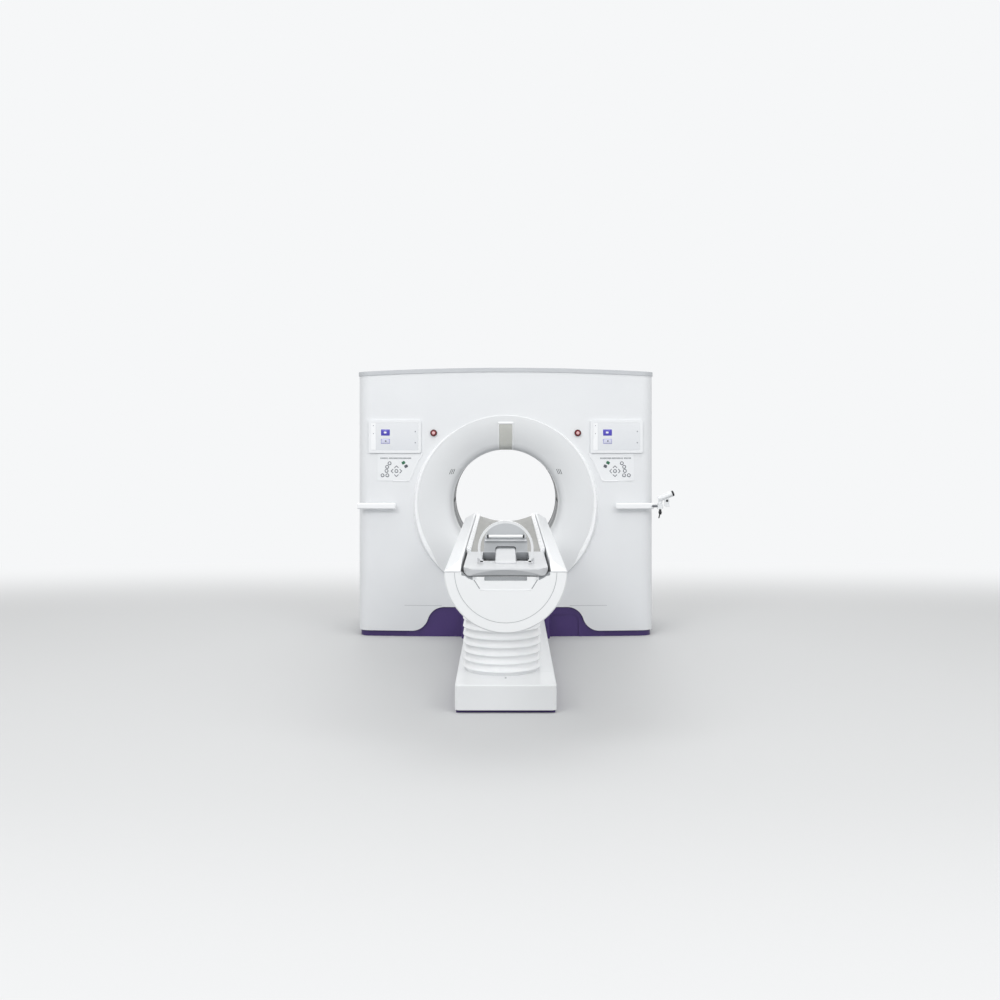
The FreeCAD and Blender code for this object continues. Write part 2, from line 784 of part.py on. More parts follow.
def handle(side):
    """Straight grip bar on two stand-offs, with room for fingers behind it."""
    x, level = side * (size("handle_end") - size("handle_length") / 2), ISO - size("handle_drop")
    length, deep, high = size("handle_length"), size("handle_depth"), size("handle_height")
    gap = size("handle_gap")
    bar = Part.makeBox(length, deep, high, V(-length / 2, 0, -high / 2))
    bar = bar.makeFillet(10, [edge for edge in bar.Edges if edge.Length > high + 1])
    for offset in (side * (34 - length / 2), side * (length / 2 - 62)):
        post = Part.makeCylinder(11, 90, V(offset, deep - 2, 0), Y_AXIS)
        bar = bar.fuse(post)
    return on_front(bar, x, level, gap + deep).cut(OUTER).removeSplitter()


def controller(grip):
    """Hand controller beside the right handle: fixed clamp, swivelling body, tilting lever."""
    level = ISO - size("handle_drop")
    x, y = size("handle_end") + 46, front_at(size("handle_end") - 110) - 45
    pin = Part.makeCylinder(8, 60, V(x - 70, y, level), X_AXIS)
    clamp = Part.makeBox(38, 40, 42, V(x - 19, y - 20, level - 21))
    clamp = clamp.makeFillet(5, [edge for edge in clamp.Edges if edge.BoundBox.ZLength > 41])
    lug = Part.makeBox(10, 9, 22, V(x - 5, y - 4.5, level - 38))
    post = Part.makeCylinder(6, 40, V(x, y, level + 15), Z_AXIS)
    fixed = clamp.fuse([pin, lug, post]).cut(grip)
    fixed = fixed.cut(Part.makeCylinder(3.06, 40, V(x, y - 20, level - 32), Y_AXIS))
    hub = Part.makeCylinder(15, 26, V(x, y, level + 21.3), Z_AXIS)
    barrel = Part.makeCylinder(21, 112, V(x - 12, y, level + 52), V(cos(radians(22)), 0, sin(radians(22))))
    pad = Part.makeBox(34, 24, 74, V(x + 34, y - 12, level - 6))
    pad = pad.makeFillet(8, [edge for edge in pad.Edges if edge.BoundBox.YLength > 23])
    body = hub.fuse([barrel, pad]).cut(Part.makeCylinder(6.06, 60, V(x, y, level + 10), Z_AXIS))
    cheeks = Part.makeBox(16, 26, 17, V(x - 8, y - 13, level - 42))
    cheeks = cheeks.cut(plan_block(x - 20, x + 20, y - 4.8, y + 4.8, level - 43, level - 20))
    cone = Part.makeCone(9, 14, 22, V(x, y, level - 63), Z_AXIS)
    pivot = Part.makeCylinder(3, 24, V(x, y - 12, level - 32), Y_AXIS)
    stick = Part.makeCylinder(4.5, 34, V(x - 2, y, level - 58), V(-0.25, 0, -1))
    lever = cheeks.fuse([cone, pivot, stick])
    return fixed, body, lever


# ---------------------------------------------------------------- inside the gantry

def stator_frame():
    """Steel ring on two legs, bolted to the base, which carries the bearing."""
    start = size("drum_back") + size("bearing_width")
    deep, hole = size("frame_thickness"), size("bearing_radius") + 10
    radius = size("frame_radius")
    foot = size("base_height")
    legs = plan_block(-radius + 60, radius - 60, start, start + deep, foot, ISO - 200)
    plate = cylinder_y(radius, start, start + deep).fuse(legs)
    feet = [plan_block(side * 550 - 150, side * 550 + 150, start - 50, start + deep + 110, foot, foot + 30)
            for side in (-1, 1)]
    arch = plan_block(-330, 330, start - 5, start + deep + 5, foot - 1, foot + 160)
    shape = plate.fuse(feet).cut(arch).cut(cylinder_y(hole, start - 5, start + deep + 5))
    return shape.removeSplitter()


def rotor_drum():
    back, front, disc = "drum_back", "-drum_front", "drum_back-drum_wall"
    rim = "drum_radius-drum_wall"
    return turned_body("rotor_drum", ("drum_bore", disc), (rim, disc), (rim, front),
                       ("drum_radius", front), ("drum_radius", back), ("drum_bore", back))


def bearing():
    """Ring bearing between the frame and the drum, the slip ring and the direct drive."""
    start, end = "drum_back", "drum_back+bearing_width"
    inner = "bearing_radius-bearing_thickness"
    track = "bearing_radius+bearing_gap"
    outer = "bearing_radius+bearing_thickness"
    return [
        ring_body("bearing_inner", inner, "bearing_radius", start, end),
        ring_body("bearing_outer", track, outer, start + "+5", end),
        ring_body("slip_ring", inner + "-70", "bearing_radius-10", end, end + "+35"),
        ring_body("drive_motor", outer + "+12", outer + "+82", start + "+6", end),
    ]


def seat_in_drum(shape):
    """Trim a piece so that it sits in the drum, against its disc and inside its rim."""
    wall = size("drum_wall")
    front, back = -size("drum_front"), size("drum_back") - wall
    room = cylinder_y(size("drum_radius") - wall, front, back)
    return shape.common(room.cut(cylinder_y(size("drum_bore"), front - 5, back + 5)))


def xray_tube():
    """Tube housing: a drum-shaped vessel along the axis, with its end cooler, on a saddle."""
    centre = ISO + size("focus_height") + 60
    back = size("drum_back") - size("drum_wall")
    body = cylinder_y(105, -120, back - 30, 0, centre)
    neck = cylinder_y(70, back - 40, back, 0, centre)
    saddle = plan_block(-120, 120, back - 40, back, centre - 110, centre + 60)
    return seat_in_drum(body.fuse([neck, saddle]).removeSplitter())


def tube_collimator():
    """Beam-shaping box between the tube and the patient, with its fan-shaped slot."""
    top = ISO + size("focus_height") - 50
    back = size("drum_back") - size("drum_wall")
    low = ISO + size("drum_bore") + 4
    edges = line((-70, 0, top), (70, 0, top), (125, 0, low), (-125, 0, low), (-70, 0, top))
    shape = extruded(edges, V(0, -105, 0), V(0, back + 105, 0))
    slot = line((-26, 0, top + 5), (26, 0, top + 5), (76, 0, low - 36), (-76, 0, low - 36), (-26, 0, top + 5))
    return seat_in_drum(shape.cut(extruded(slot, V(0, -60, 0), V(0, 120, 0))))


def detector_array():
    """Arc of detector modules centred on the focus."""
    focus = ISO + size("focus_height")
    inner = size("focus_height") + size("drum_bore") + size("detector_clearance")
    outer = inner + size("detector_thickness")
    half = size("detector_half_angle")
    wide = size("detector_width") / 2

    def at(radius, angle):
        return (radius * sin(radians(angle)), 0, focus - radius * cos(radians(angle)))
    edges = [arc(at(inner, -half), at(inner, 0), at(inner, half))]
    edges += line(at(inner, half), at(outer, half))
    edges.append(arc(at(outer, half), at(outer, 0), at(outer, -half)))
    edges += line(at(outer, -half), at(inner, -half))
    shape = extruded(edges, V(0, -wide, 0), V(0, wide + size("drum_back") - size("drum_wall"), 0))
    return seat_in_drum(shape)


def drum_module(angle, wide, gap, setback):
    """A box bolted to the drum's disc at an angle from straight up, gap inside the drum's rim."""
    front, back = setback - size("drum_front"), size("drum_back") - size("drum_wall")
    near, far = size("drum_bore") + size("module_clearance"), size("drum_radius") - gap
    shape = plan_block(-wide / 2, wide / 2, front, back, near, far)
    shape = shape.makeFillet(14, [edge for edge in shape.Edges if edge.BoundBox.YLength > 50])
    shape.rotate(V(), Y_AXIS, angle)
    shape.translate(V(0, 0, ISO))
    return seat_in_drum(shape)


# ---------------------------------------------------------------- table base

TABLE_FOOT = FRONT - size("base_reach")
COLUMN_Y = TABLE_FOOT + size("bellows_start") + size("bellows_length") / 2
HALF = size("base_half_width")
SKIN = size("table_wall")


def table_frame():
    """Welded base frame with the lift's well and two open bays each side by the gantry."""
    side = "(base_half_width-table_wall-1.5)"
    near = "-front_depth-base_reach+20"
    block = box("frame_block", ("-" + side, near, "0"),
                ("2*" + side, "base_reach-20+base_inset", "base_top-table_wall"))
    well = box("frame_well", ("-column_half_x-1", "-front_depth-base_reach+bellows_start+bellows_length/2"
                              "-column_half_y-1", "column_floor"),
               ("2*column_half_x+2", "2*column_half_y+2", "base_top"))
    bays = []
    for number, start in enumerate((650, 395)):
        for hand, x in (("left", "-base_half_width-10"), ("right", "base_half_width-70")):
            label = "bay_%s_%d" % (hand, number)
            bays.append(box(label, (x, "-front_depth-%d" % start, "14"), ("80", "240", "80")))
    return cut("table_base_frame", block, well, *bays)


def cover_block(start, end, low, corners):
    """A cover before it is hollowed: rounded along its top edges and its end corners."""
    block = plan_block(-HALF, HALF, start, end, low, size("base_top"))
    if corners:
        upright = [edge for edge in block.Edges if edge.BoundBox.ZLength > 20
                   and abs(edge.BoundBox.YMin - start) < 0.1 and edge.BoundBox.YLength < 0.1]
        block = block.makeFillet(28, upright)
    return block


def rounded_top(block, radius, skip_y):
    """Round the top edges that don't lie on a joint between two covers."""
    level = size("base_top")
    edges = [edge for edge in block.Edges if abs(edge.BoundBox.ZMin - level) < 0.01
             and not (edge.BoundBox.YLength < 0.1 and any(abs(edge.BoundBox.YMin - y) < 0.1 for y in skip_y))]
    return block.makeFillet(radius, edges)


def base_covers():
    """Three moulded covers along the base: foot end, under the bellows and by the gantry."""
    low, top = size("base_side_height"), size("base_top")
    foot_end = TABLE_FOOT + size("foot_cover_length")
    middle_end = foot_end + size("middle_cover_length")
    last_end = FRONT - 2
    gap = 1.5

    outer = rounded_top(cover_block(TABLE_FOOT, foot_end, size("base_wrap_gap"), True), 9, (foot_end,))
    inner = plan_block(-HALF + SKIN, HALF - SKIN, TABLE_FOOT + SKIN, foot_end + 5, 0, top - SKIN)
    upright = [edge for edge in inner.Edges if edge.BoundBox.ZLength > 20
               and abs(edge.BoundBox.YMin - TABLE_FOOT - SKIN) < 0.1 and edge.BoundBox.YLength < 0.1]
    inner = inner.makeFillet(22, upright)
    below = plan_block(-HALF - 5, HALF + 5, TABLE_FOOT + 52, foot_end + 5, 0, low)
    corner = [edge for edge in below.Edges if edge.BoundBox.XLength > HALF
              and abs(edge.BoundBox.YMin - TABLE_FOOT - 52) < 0.1 and edge.BoundBox.ZMin > 5]
    foot = outer.cut(inner).cut(below.makeFillet(14, corner))

    covers = [foot]
    for start, end in ((foot_end + gap, middle_end), (middle_end + gap, last_end)):
        outer = rounded_top(cover_block(start, end, low, False), 9, (start, end))
        covers.append(outer.cut(plan_block(-HALF + SKIN, HALF - SKIN, start - 5, end + 5, 0, top - SKIN)))
    half_x, half_y = size("column_half_x") + 1, size("column_half_y") + 1
    hole = plan_block(-half_x, half_x, COLUMN_Y - half_y, COLUMN_Y + half_y, low, top + 5)
    covers[1] = covers[1].cut(hole)
    return covers


# ---------------------------------------------------------------- bellows and lift

def bellows_wire(inset, level):
    """The bellows in plan: half round at the foot end, squarer towards the gantry."""
    start = TABLE_FOOT + size("bellows_start")
    full = size("bellows_half_width")
    end = start + size("bellows_length") - inset
    half, corner = full - inset, 62 - inset
    shift = size("bellows_shift")
    turn = corner * (1 - sin(pi / 4))

    def at(x, y):
        return V(shift + x, y, level)
    edges = [
        Part.Arc(at(-half, start + full), at(0, start + inset), at(half, start + full)).toShape(),
        Part.LineSegment(at(half, start + full), at(half, end - corner)).toShape(),
        Part.Arc(at(half, end - corner), at(half - turn, end - turn), at(half - corner, end)).toShape(),
        Part.LineSegment(at(half - corner, end), at(corner - half, end)).toShape(),
        Part.Arc(at(corner - half, end), at(turn - half, end - turn), at(-half, end - corner)).toShape(),
        Part.LineSegment(at(-half, end - corner), at(-half, start + full)).toShape(),
    ]
    return Part.Wire(edges)


def bellows():
    """Pleated sleeve: ridges and valleys by turns, open at the top and the bottom."""
    low, high = size("base_top"), size("bellows_top")
    steps = 2 * int(size("bellows_folds"))
    fold, skin = size("bellows_fold"), size("bellows_skin") * 1.3

    def sleeve(extra):
        wires = []
        for step in range(steps + 1):
            inset = (fold if step % 2 == 0 else 0) + extra
            wires.append(bellows_wire(inset, low + (high - low) * step / steps))
        return Part.makeLoft(wires, True, True)
    return sleeve(0).cut(sleeve(skin))


def bellows_flange():
    """Plate that holds the bellows' upper edge, hollowed to take the table top's belly."""
    low = size("bellows_top")
    plate = Part.Face(bellows_wire(-5, low)).extrude(V(0, 0, size("flange_thickness")))
    return plate.cut(cylinder_y(size("belly_radius"), TABLE_FOOT, FRONT, 0, size("belly_level")))


def column_stage(number):
    """One tube of the four-stage telescopic lift, drawn with the table raised."""
    step = size("column_wall") + size("fit_gap")
    half_x, half_y = size("column_half_x") - number * step, size("column_half_y") - number * step
    wall = size("column_wall")
    lift = size("lift_travel") * number / 3.0
    low = size("column_floor") + (wall + 3) * (number > 0) + lift
    high = size("column_top") + lift
    if number == 3:
        high = size("bellows_top")
    tube = plan_block(-half_x, half_x, COLUMN_Y - half_y, COLUMN_Y + half_y, low, high)
    room = plan_block(wall - half_x, half_x - wall, COLUMN_Y - half_y + wall, COLUMN_Y + half_y - wall,
                      low - 5 if number else low + wall, high + 5 - 17 * (number == 3))
    return tube.cut(room)


# ---------------------------------------------------------------- table top

TOP_FOOT = FRONT - size("top_reach")
TOP_END = TOP_FOOT + size("top_length")
BELLY = size("belly_radius")
LEVEL = size("belly_level")
RAIL_IN = BELLY - size("rail_width")
BESIDE, BELOW, ABOVE = BELLY + 100, LEVEL - BELLY - 100, size("rail_top") + 150
CRADLE_FOOT = TOP_FOOT + size("cradle_short")


def top_body(inset, start, end):
    """The table top's whole form: half-round belly, sloping rails, rounded gantry end."""
    radius, high, corner = BELLY - inset, size("rail_top") - inset, size("top_corner") - inset
    turn = corner * (1 - sin(pi / 4))
    edges = line((0, end), (0, start), (radius, start), (radius, end - corner))
    edges.append(arc((radius, end - corner), (radius - turn, end - turn), (radius - corner, end)))
    edges += line((radius - corner, end), (0, end))
    slope, y = BELLY - 0.82 * size("rail_width"), start - 5
    side, foot = radius + 100, LEVEL - (high - LEVEL) * 100 / (radius - slope)
    outline = line((-slope, y, high), (slope, y, high), (side, y, foot), (side, y, BELOW),
                   (-side, y, BELOW), (-side, y, foot), (-slope, y, high))
    return turned(edges, LEVEL).common(extruded(outline, V(), V(0, end - y + 5, 0)))


def above_foot(lower):
    """Wedge over the rails' foot ends, which fall towards the end cap."""
    high, run = size("rail_top") - lower, size("foot_slope")
    near = 20
    low = high - size("foot_drop") * (run + near) / run
    edges = line((0, TOP_FOOT - near, low), (0, TOP_FOOT + run, high), (0, TOP_FOOT + run, ABOVE),
                 (0, TOP_FOOT - near, ABOVE), (0, TOP_FOOT - near, low))
    return extruded(edges, V(-BESIDE, 0, 0), V(2 * BESIDE, 0, 0))


TOP_OUTER = top_body(0, TOP_FOOT, TOP_END).cut(above_foot(0))
TOP_INNER = top_body(SKIN, TOP_FOOT - 10, TOP_END - SKIN).cut(above_foot(SKIN))
CAP_END = TOP_FOOT + size("cap_thickness")


def table_housing():
    """Belly shell of the table top, closed at the gantry end."""
    region = plan_block(-BESIDE, BESIDE, CAP_END, TOP_END + 50, BELOW, size("rail_seam"))
    return TOP_OUTER.cut(TOP_INNER).common(region)


def rail(side):
    """Capping along one side: outer skin, sloping top, inner wall by the cradle, closed foot end."""
    seam, inner = size("rail_seam"), RAIL_IN
    x_low, x_high = sorted((side * inner, side * BESIDE))
    region = plan_block(x_low, x_high, CAP_END, TOP_END + 50, seam, ABOVE)
    skin = TOP_OUTER.cut(TOP_INNER).common(region)
    x_low, x_high = sorted((side * inner, side * (inner + 6)))
    wall = TOP_OUTER.common(plan_block(x_low, x_high, CAP_END, TOP_END + 50, seam + 18, ABOVE))
    x_low, x_high = sorted((side * inner, side * BESIDE))
    foot = TOP_OUTER.common(plan_block(x_low, x_high, TOP_FOOT, CAP_END + SKIN, LEVEL, ABOVE))
    return skin.fuse([wall, foot]).removeSplitter()


def end_cap():
    """Flat foot end below the rails, with the notch that the cradle's frame lies in."""
    high, edge = LEVEL - size("cap_seam"), 5
    plate = turned(line((0, CAP_END), (0, TOP_FOOT), (BELLY - edge, TOP_FOOT), (BELLY, TOP_FOOT + edge),
                        (BELLY, CAP_END), (0, CAP_END)), LEVEL)
    plate = plate.common(plan_block(-BESIDE, BESIDE, TOP_FOOT - 5, CAP_END + 5, BELOW, high))
    groove = ring(BELLY - 50, BELLY - 47, TOP_FOOT - 5, TOP_FOOT + 1.5)
    groove.translate(V(0, 0, LEVEL - ISO))
    return plate.cut(groove).cut(notch()).cut(cap_panel())


def notch():
    """Shelf right through the plate, and round its ends a deeper recess closed at the back."""
    wide, narrow = RAIL_IN - 3, RAIL_IN - 70
    shelf, low, y = LEVEL - size("notch_shelf"), LEVEL - size("notch_depth"), TOP_FOOT - 5
    bend = (narrow + (wide - narrow) * 0.62, LEVEL - 0.62 * size("notch_depth"))
    outline = line((-narrow, y, low), (-narrow, y, shelf), (narrow, y, shelf), (narrow, y, low))
    outline.append(arc((narrow, y, low), (bend[0], y, bend[1]), (wide, y, LEVEL)))
    outline += line((wide, y, LEVEL), (wide, y, ABOVE), (-wide, y, ABOVE), (-wide, y, LEVEL))
    outline.append(arc((-wide, y, LEVEL), (-bend[0], y, bend[1]), (-narrow, y, low)))
    recess = extruded(outline, V(), V(0, size("cap_thickness") - 3, 0))
    wide -= 1
    through = line((-wide, y, ABOVE), (-wide, y, shelf + 6), (25 - wide, y, shelf), (wide - 25, y, shelf),
                   (wide, y, shelf + 6), (wide, y, ABOVE), (-wide, y, ABOVE))
    return recess.fuse(extruded(through, V(), V(0, size("cap_thickness") + 10, 0)))


def cap_panel():
    """Sunk panel under the notch and the pocket in its upper edge."""
    shelf, low, y = LEVEL - size("notch_shelf"), LEVEL - size("notch_depth"), TOP_FOOT - 5
    foot, half = low - 42, RAIL_IN - 74
    edges = line((-half, y, shelf + 5), (-half, y, low), (-half + 30, y, foot), (half - 30, y, foot),
                 (half, y, low), (half, y, shelf + 5), (-half, y, shelf + 5))
    panel = extruded(edges, V(), V(0, 7, 0))
    return panel.fuse(plan_block(-100, 100, y, TOP_FOOT + 12, low, shelf + 5))


def top_frame():
    """Ladder frame inside the top: two cradle guides on five bulkheads."""
    high = size("rail_seam")
    start, end = CAP_END + 20, TOP_END - 60
    beams = [plan_block(side * 170 - 22, side * 170 + 22, start, end, high - 40, high)
             for side in (-1, 1)]
    count = 5
    pitch = (end - start - 12) / (count - 1)
    for number in range(count):
        y = start + number * pitch
        beams.append(TOP_INNER.common(plan_block(-BESIDE, BESIDE, y, y + 12, BELOW, high - 40)))
    shape = beams[0].fuse(beams[1:])
    return shape.removeSplitter()


CRADLE_HALF = RAIL_IN - size("cradle_gap")
SAG = size("cradle_edge") - size("cradle_level")
DISH = (CRADLE_HALF ** 2 + SAG ** 2) / (2 * SAG)
DISH_LEVEL = size("cradle_level") + DISH


def dished(thin, thick, x_low, x_high, start, end):
    """A slab that follows the cradle's concave section, between two depths below it."""
    shell = cylinder_y(DISH + thick, start, end, 0, DISH_LEVEL)
    shell = shell.cut(cylinder_y(DISH + thin, start - 5, end + 5, 0, DISH_LEVEL))
    return shell.common(plan_block(x_low, x_high, start, end, size("rail_seam") - 60, DISH_LEVEL))


def runners(start, end, top):
    """Two ribs that ride on the guides with a running gap."""
    low = size("rail_seam") + size("fit_gap")
    return [plan_block(side * 170 - 14, side * 170 + 14, start, end, low, top) for side in (-1, 1)]


def cradle():
    """Carbon-fibre cradle: concave, with raised lips and runners beneath."""
    start, end = CRADLE_FOOT, TOP_END - 14
    lip, mat = size("cradle_lip"), size("mat_thickness")
    inner = CRADLE_HALF - lip
    shape = dished(0, size("cradle_thickness"), -CRADLE_HALF, CRADLE_HALF, start, end)
    lips = [dished(-mat, 1, low, high, start, end)
            for low, high in ((-CRADLE_HALF, -inner), (inner, CRADLE_HALF))]
    shape = shape.fuse(lips)
    corner = plan_block(-CRADLE_HALF - 5, CRADLE_HALF + 5, start - 5, end, BELOW, ABOVE)
    upright = [edge for edge in corner.Edges if edge.BoundBox.ZLength > 100
               and abs(edge.BoundBox.YMax - end) < 0.1 and edge.BoundBox.YLength < 0.1]
    shape = shape.common(corner.makeFillet(40, upright))
    ribs = [rib.cut(cylinder_y(DISH + 2, start - 5, end + 5, 0, DISH_LEVEL))
            for rib in runners(start, end - 60, size("cradle_edge") - 12)]
    return shape.fuse(ribs).removeSplitter()


def mattress():
    """Foam mat lying in the cradle between its lips."""
    inner = CRADLE_HALF - size("cradle_lip") - 1
    return dished(-size("mat_thickness"), 0, -inner, inner, CRADLE_FOOT, TOP_END - 60)


HOOP_Y = TOP_FOOT + size("hoop_setback")
PIVOT_Z = size("hoop_pivot")
LEVER_Y = HOOP_Y - 16
ROLLER_Z = size("frame_top") + 83


def frame_block(wide, low, top, back):
    """The frame before its openings: three prisms' common part, rounded in each view."""
    corner, plan, brow = size("frame_corner"), 46, 20
    near = TOP_FOOT + 1
    turn, sweep = corner * (1 - sin(pi / 4)), plan * (1 - sin(pi / 4))
    y = near - 5
    edges = line((-wide, y, low + corner), (-wide, y, top), (wide, y, top), (wide, y, low + corner))
    edges.append(arc((wide, y, low + corner), (wide - turn, y, low + turn), (wide - corner, y, low)))
    edges += line((wide - corner, y, low), (corner - wide, y, low))
    edges.append(arc((corner - wide, y, low), (turn - wide, y, low + turn), (-wide, y, low + corner)))
    ahead = extruded(edges, V(), V(0, back - y, 0))
    edges = line((-wide, near + plan), (-wide, back), (wide, back), (wide, near + plan))
    edges.append(arc((wide, near + plan), (wide - sweep, near + sweep), (wide - plan, near)))
    edges += line((wide - plan, near), (plan - wide, near))
    edges.append(arc((plan - wide, near), (sweep - wide, near + sweep), (-wide, near + plan)))
    plan_view = extruded(edges, V(0, 0, low - 5), V(0, 0, top - low + 10))
    edges = line((0, near, low - 5), (0, near, top - 7))
    edges.append(arc((0, near, top - 7), (0, near + 5, top - 2), (0, near + brow, top)))
    edges += line((0, near + brow, top), (0, back + 5, top), (0, back + 5, low - 5), (0, near, low - 5))
    return ahead.common(plan_view).common(extruded(edges, V(-BESIDE, 0, 0), V(2 * BESIDE, 0, 0)))


def foot_frame():
    """Frame at the cradle's foot end: undercut front block, two arms, tongue and cross bar."""
    top = size("frame_top")
    wide, low = CRADLE_HALF - 7, top - size("frame_depth")
    back = CRADLE_FOOT
    block_end = TOP_FOOT + 303
    shape = frame_block(wide, low, top, back)
    for side in (-1, 1):
        x_low, x_high = sorted((side * 54, side * 118))
        shape = shape.cut(plan_block(x_low, x_high, block_end, back - 25, low - 5, top + 5))
    swell = 4.9 * wide
    lean = V(0, 2, -3).normalize()
    crest = V(0, TOP_FOOT + 1, top - 8)
    depth = V(0, 3, 2).normalize() * swell
    shape = shape.cut(Part.makeCylinder(swell, 120, crest - depth - lean * 60, lean))
    tongue = plan_block(-54, 54, block_end, back - 25, top - 14, top + 10)
    shape = shape.cut(tongue)
    for side in (-1, 1):
        x = side * (hoop_half() + 11)
        ear = plan_block(x - 4, x + 4, HOOP_Y - 12, HOOP_Y + 12, top - 5, PIVOT_Z + 10)
        shape = shape.fuse(ear)
    shape = shape.fuse(runners(CAP_END + 20, back, low + 8))
    shape = shape.cut(Part.makeCylinder(4.06, 400, V(-200, HOOP_Y, PIVOT_Z), X_AXIS))
    shape = shape.cut(lever_room())
    return shape.removeSplitter()


def lever_room():
    """Bearing groove for the release lever's pivot."""
    top = size("frame_top")
    return Part.makeCylinder(7.5, 104, V(-52, LEVER_Y, top + 2), X_AXIS)


def hoop_half():
    """Half the distance between the hoop's feet at the pivot."""
    radius = size("hoop_radius")
    centre = size("hoop_pivot") + size("hoop_rise") - radius
    return sqrt(radius ** 2 - (centre - PIVOT_Z) ** 2)


def hoop():
    """Folding hoop: a flat band bent to a horseshoe, with its pivot pins."""
    radius, band, deep = size("hoop_radius"), size("hoop_band"), size("hoop_depth")
    centre = PIVOT_Z + size("hoop_rise") - radius
    start = HOOP_Y - deep / 2
    shape = cylinder_y(radius, start, start + deep, 0, centre)
    shape = shape.cut(cylinder_y(radius - band, start - 5, start + deep + 5, 0, centre))
    shape = shape.common(plan_block(-200, 200, start, start + deep, PIVOT_Z - 2, 1300))
    half = hoop_half()
    for side in (-1, 1):
        x = side * (half - 3)
        foot = plan_block(x - 7, x + 7, HOOP_Y - 9, HOOP_Y + 9, PIVOT_Z - 9, PIVOT_Z + 9)
        pin = Part.makeCylinder(4, 19, V(x, HOOP_Y, PIVOT_Z), V(side, 0, 0))
        shape = shape.fuse([foot, pin])
    return shape.removeSplitter()


def release_lever():
    """Paddle in the middle of the frame, hinged at its foot end."""
    top = size("frame_top")
    y = LEVER_Y
    end = y + size("lever_length")
    edges = line((0, y, top + 1), (0, end, top + 1), (0, end, top + 20), (0, y + 0.6 * (end - y), top + 13),
                 (0, y, top + 9), (0, y, top + 1))
    shape = extruded(edges, V(-48, 0, 0), V(96, 0, 0))
    far = [edge for edge in shape.Edges if edge.BoundBox.ZLength > 15 and edge.BoundBox.YLength < 0.1]
    shape = shape.makeFillet(12, far)
    barrel = Part.makeCylinder(7.2, 96, V(-48, LEVER_Y, top + 2), X_AXIS)
    return shape.fuse(barrel).removeSplitter()


def back_plate():
    """Arched plate across the cradle's foot end, with a bead, a recess and the roller's two ears."""
    y = CRADLE_FOOT - 12
    low, half = size("frame_top"), 113.0
    shoulder = low + 45
    edges = line((-half, y, shoulder), (-half, y, low), (half, y, low), (half, y, shoulder))
    edges.append(arc((half, y, shoulder), (0, y, shoulder + half), (-half, y, shoulder)))
    shape = extruded(edges, V(), V(0, 8, 0))
    bead = plan_block(-half + 3, half - 3, y - 10, y + 1, shoulder + 11, shoulder + 22)
    recess = plan_block(-54, 54, y - 5, y + 5, low - 15, low + 27)
    corners = [edge for edge in recess.Edges if edge.BoundBox.YLength > 5 and edge.BoundBox.ZMin > low]
    shape = shape.fuse(bead).cut(recess.makeFillet(12, corners))
    for side in (-1, 1):
        x = side * 101
        ear = plan_block(x - 3, x + 3, y - 34, y + 1, ROLLER_Z - 11, ROLLER_Z + 11)
        shape = shape.fuse(ear)
    return shape.cut(Part.makeCylinder(4.06, 300, V(-150, y - 24, ROLLER_Z), X_AXIS)).removeSplitter()


def roller_bar():
    """White roller that turns in the back plate's ears."""
    y = CRADLE_FOOT - 36
    shape = Part.makeCylinder(8, 194, V(-97, y, ROLLER_Z), X_AXIS)
    shape = shape.fuse(Part.makeCylinder(4, 214, V(-107, y, ROLLER_Z), X_AXIS))
    return shape.removeSplitter()


# ---------------------------------------------------------------- nodes and export

def keep(label, *shapes):
    """Add one node to the document from one or more shapes."""
    solids = [solid for shape in shapes for solid in shape.Solids]
    item = feature(label, solids[0] if len(solids) == 1 else Part.makeCompound(solids))
    NODES.append(item)
    return item


def gantry_nodes():
    keep("gantry_base", base_casting())
    keep("base_fascia", fascia())
    keep("dock_bridge", dock_bridge())
    keep("front_cover", front_cover())
    whole = funnel()
    keep("funnel_ring", whole.cut(chin_region(0)))
    keep("funnel_lower_panel", whole.common(chin_region(size("panel_gap"))))
    keep("laser_window_top", strip_prism(-size("strip_proud"), size("strip_sunk"), 0))
    NODES.extend(liners())
    keep("bore_seals", *(bore_seals() + [side_slots()]))
    keep("side_channels", *side_channels())
    left, right = side_covers()
    keep("side_cover_left", left)
    keep("side_cover_right", right)
    keep("rear_cover", rear_cover())
    keep("rear_funnel", rear_funnel())
    keep("top_trim", top_trim())


def control_nodes():
    pads, screens = zip(display(-1), display(1))
    keep("display_bezels", *pads)
    keep("display_screens", *screens)
    keep("keypads", keypad(-1), keypad(1))
    (left_collar, left_button), (right_collar, right_button) = estop(-1), estop(1)
    keep("estop_bezels", left_collar, right_collar)
    keep("estop_button_left", left_button)
    keep("estop_button_right", right_button)
    grips = [handle(-1), handle(1)]
    keep("handles", *grips)
    mount, body, lever = controller(grips[1])
    keep("controller_mount", mount)
    keep("controller_body", body)
    keep("controller_lever", lever)


def rotor_nodes():
    keep("stator_frame", stator_frame())
    NODES.extend(bearing())
    NODES.append(rotor_drum())
    keep("xray_tube", xray_tube())
    keep("tube_collimator", tube_collimator())
    keep("detector_array", detector_array())
    keep("hv_generator", drum_module(100, 300, 55, 30))
    keep("cooling_unit", drum_module(-100, 260, 65, 50))


def table_nodes():
    NODES.append(table_frame())
    for label, cover in zip(("base_cover_foot", "base_cover_middle", "base_cover_gantry"), base_covers()):
        keep(label, cover)
    keep("bellows", bellows())
    keep("bellows_flange", bellows_flange())
    for number, name in enumerate(("outer", "lower", "upper", "inner")):
        keep("lift_column_" + name, column_stage(number))
    keep("table_housing", table_housing())
    keep("top_frame", top_frame())
    keep("end_cap", end_cap())
    keep("rail_left", rail(-1))
    keep("rail_right", rail(1))


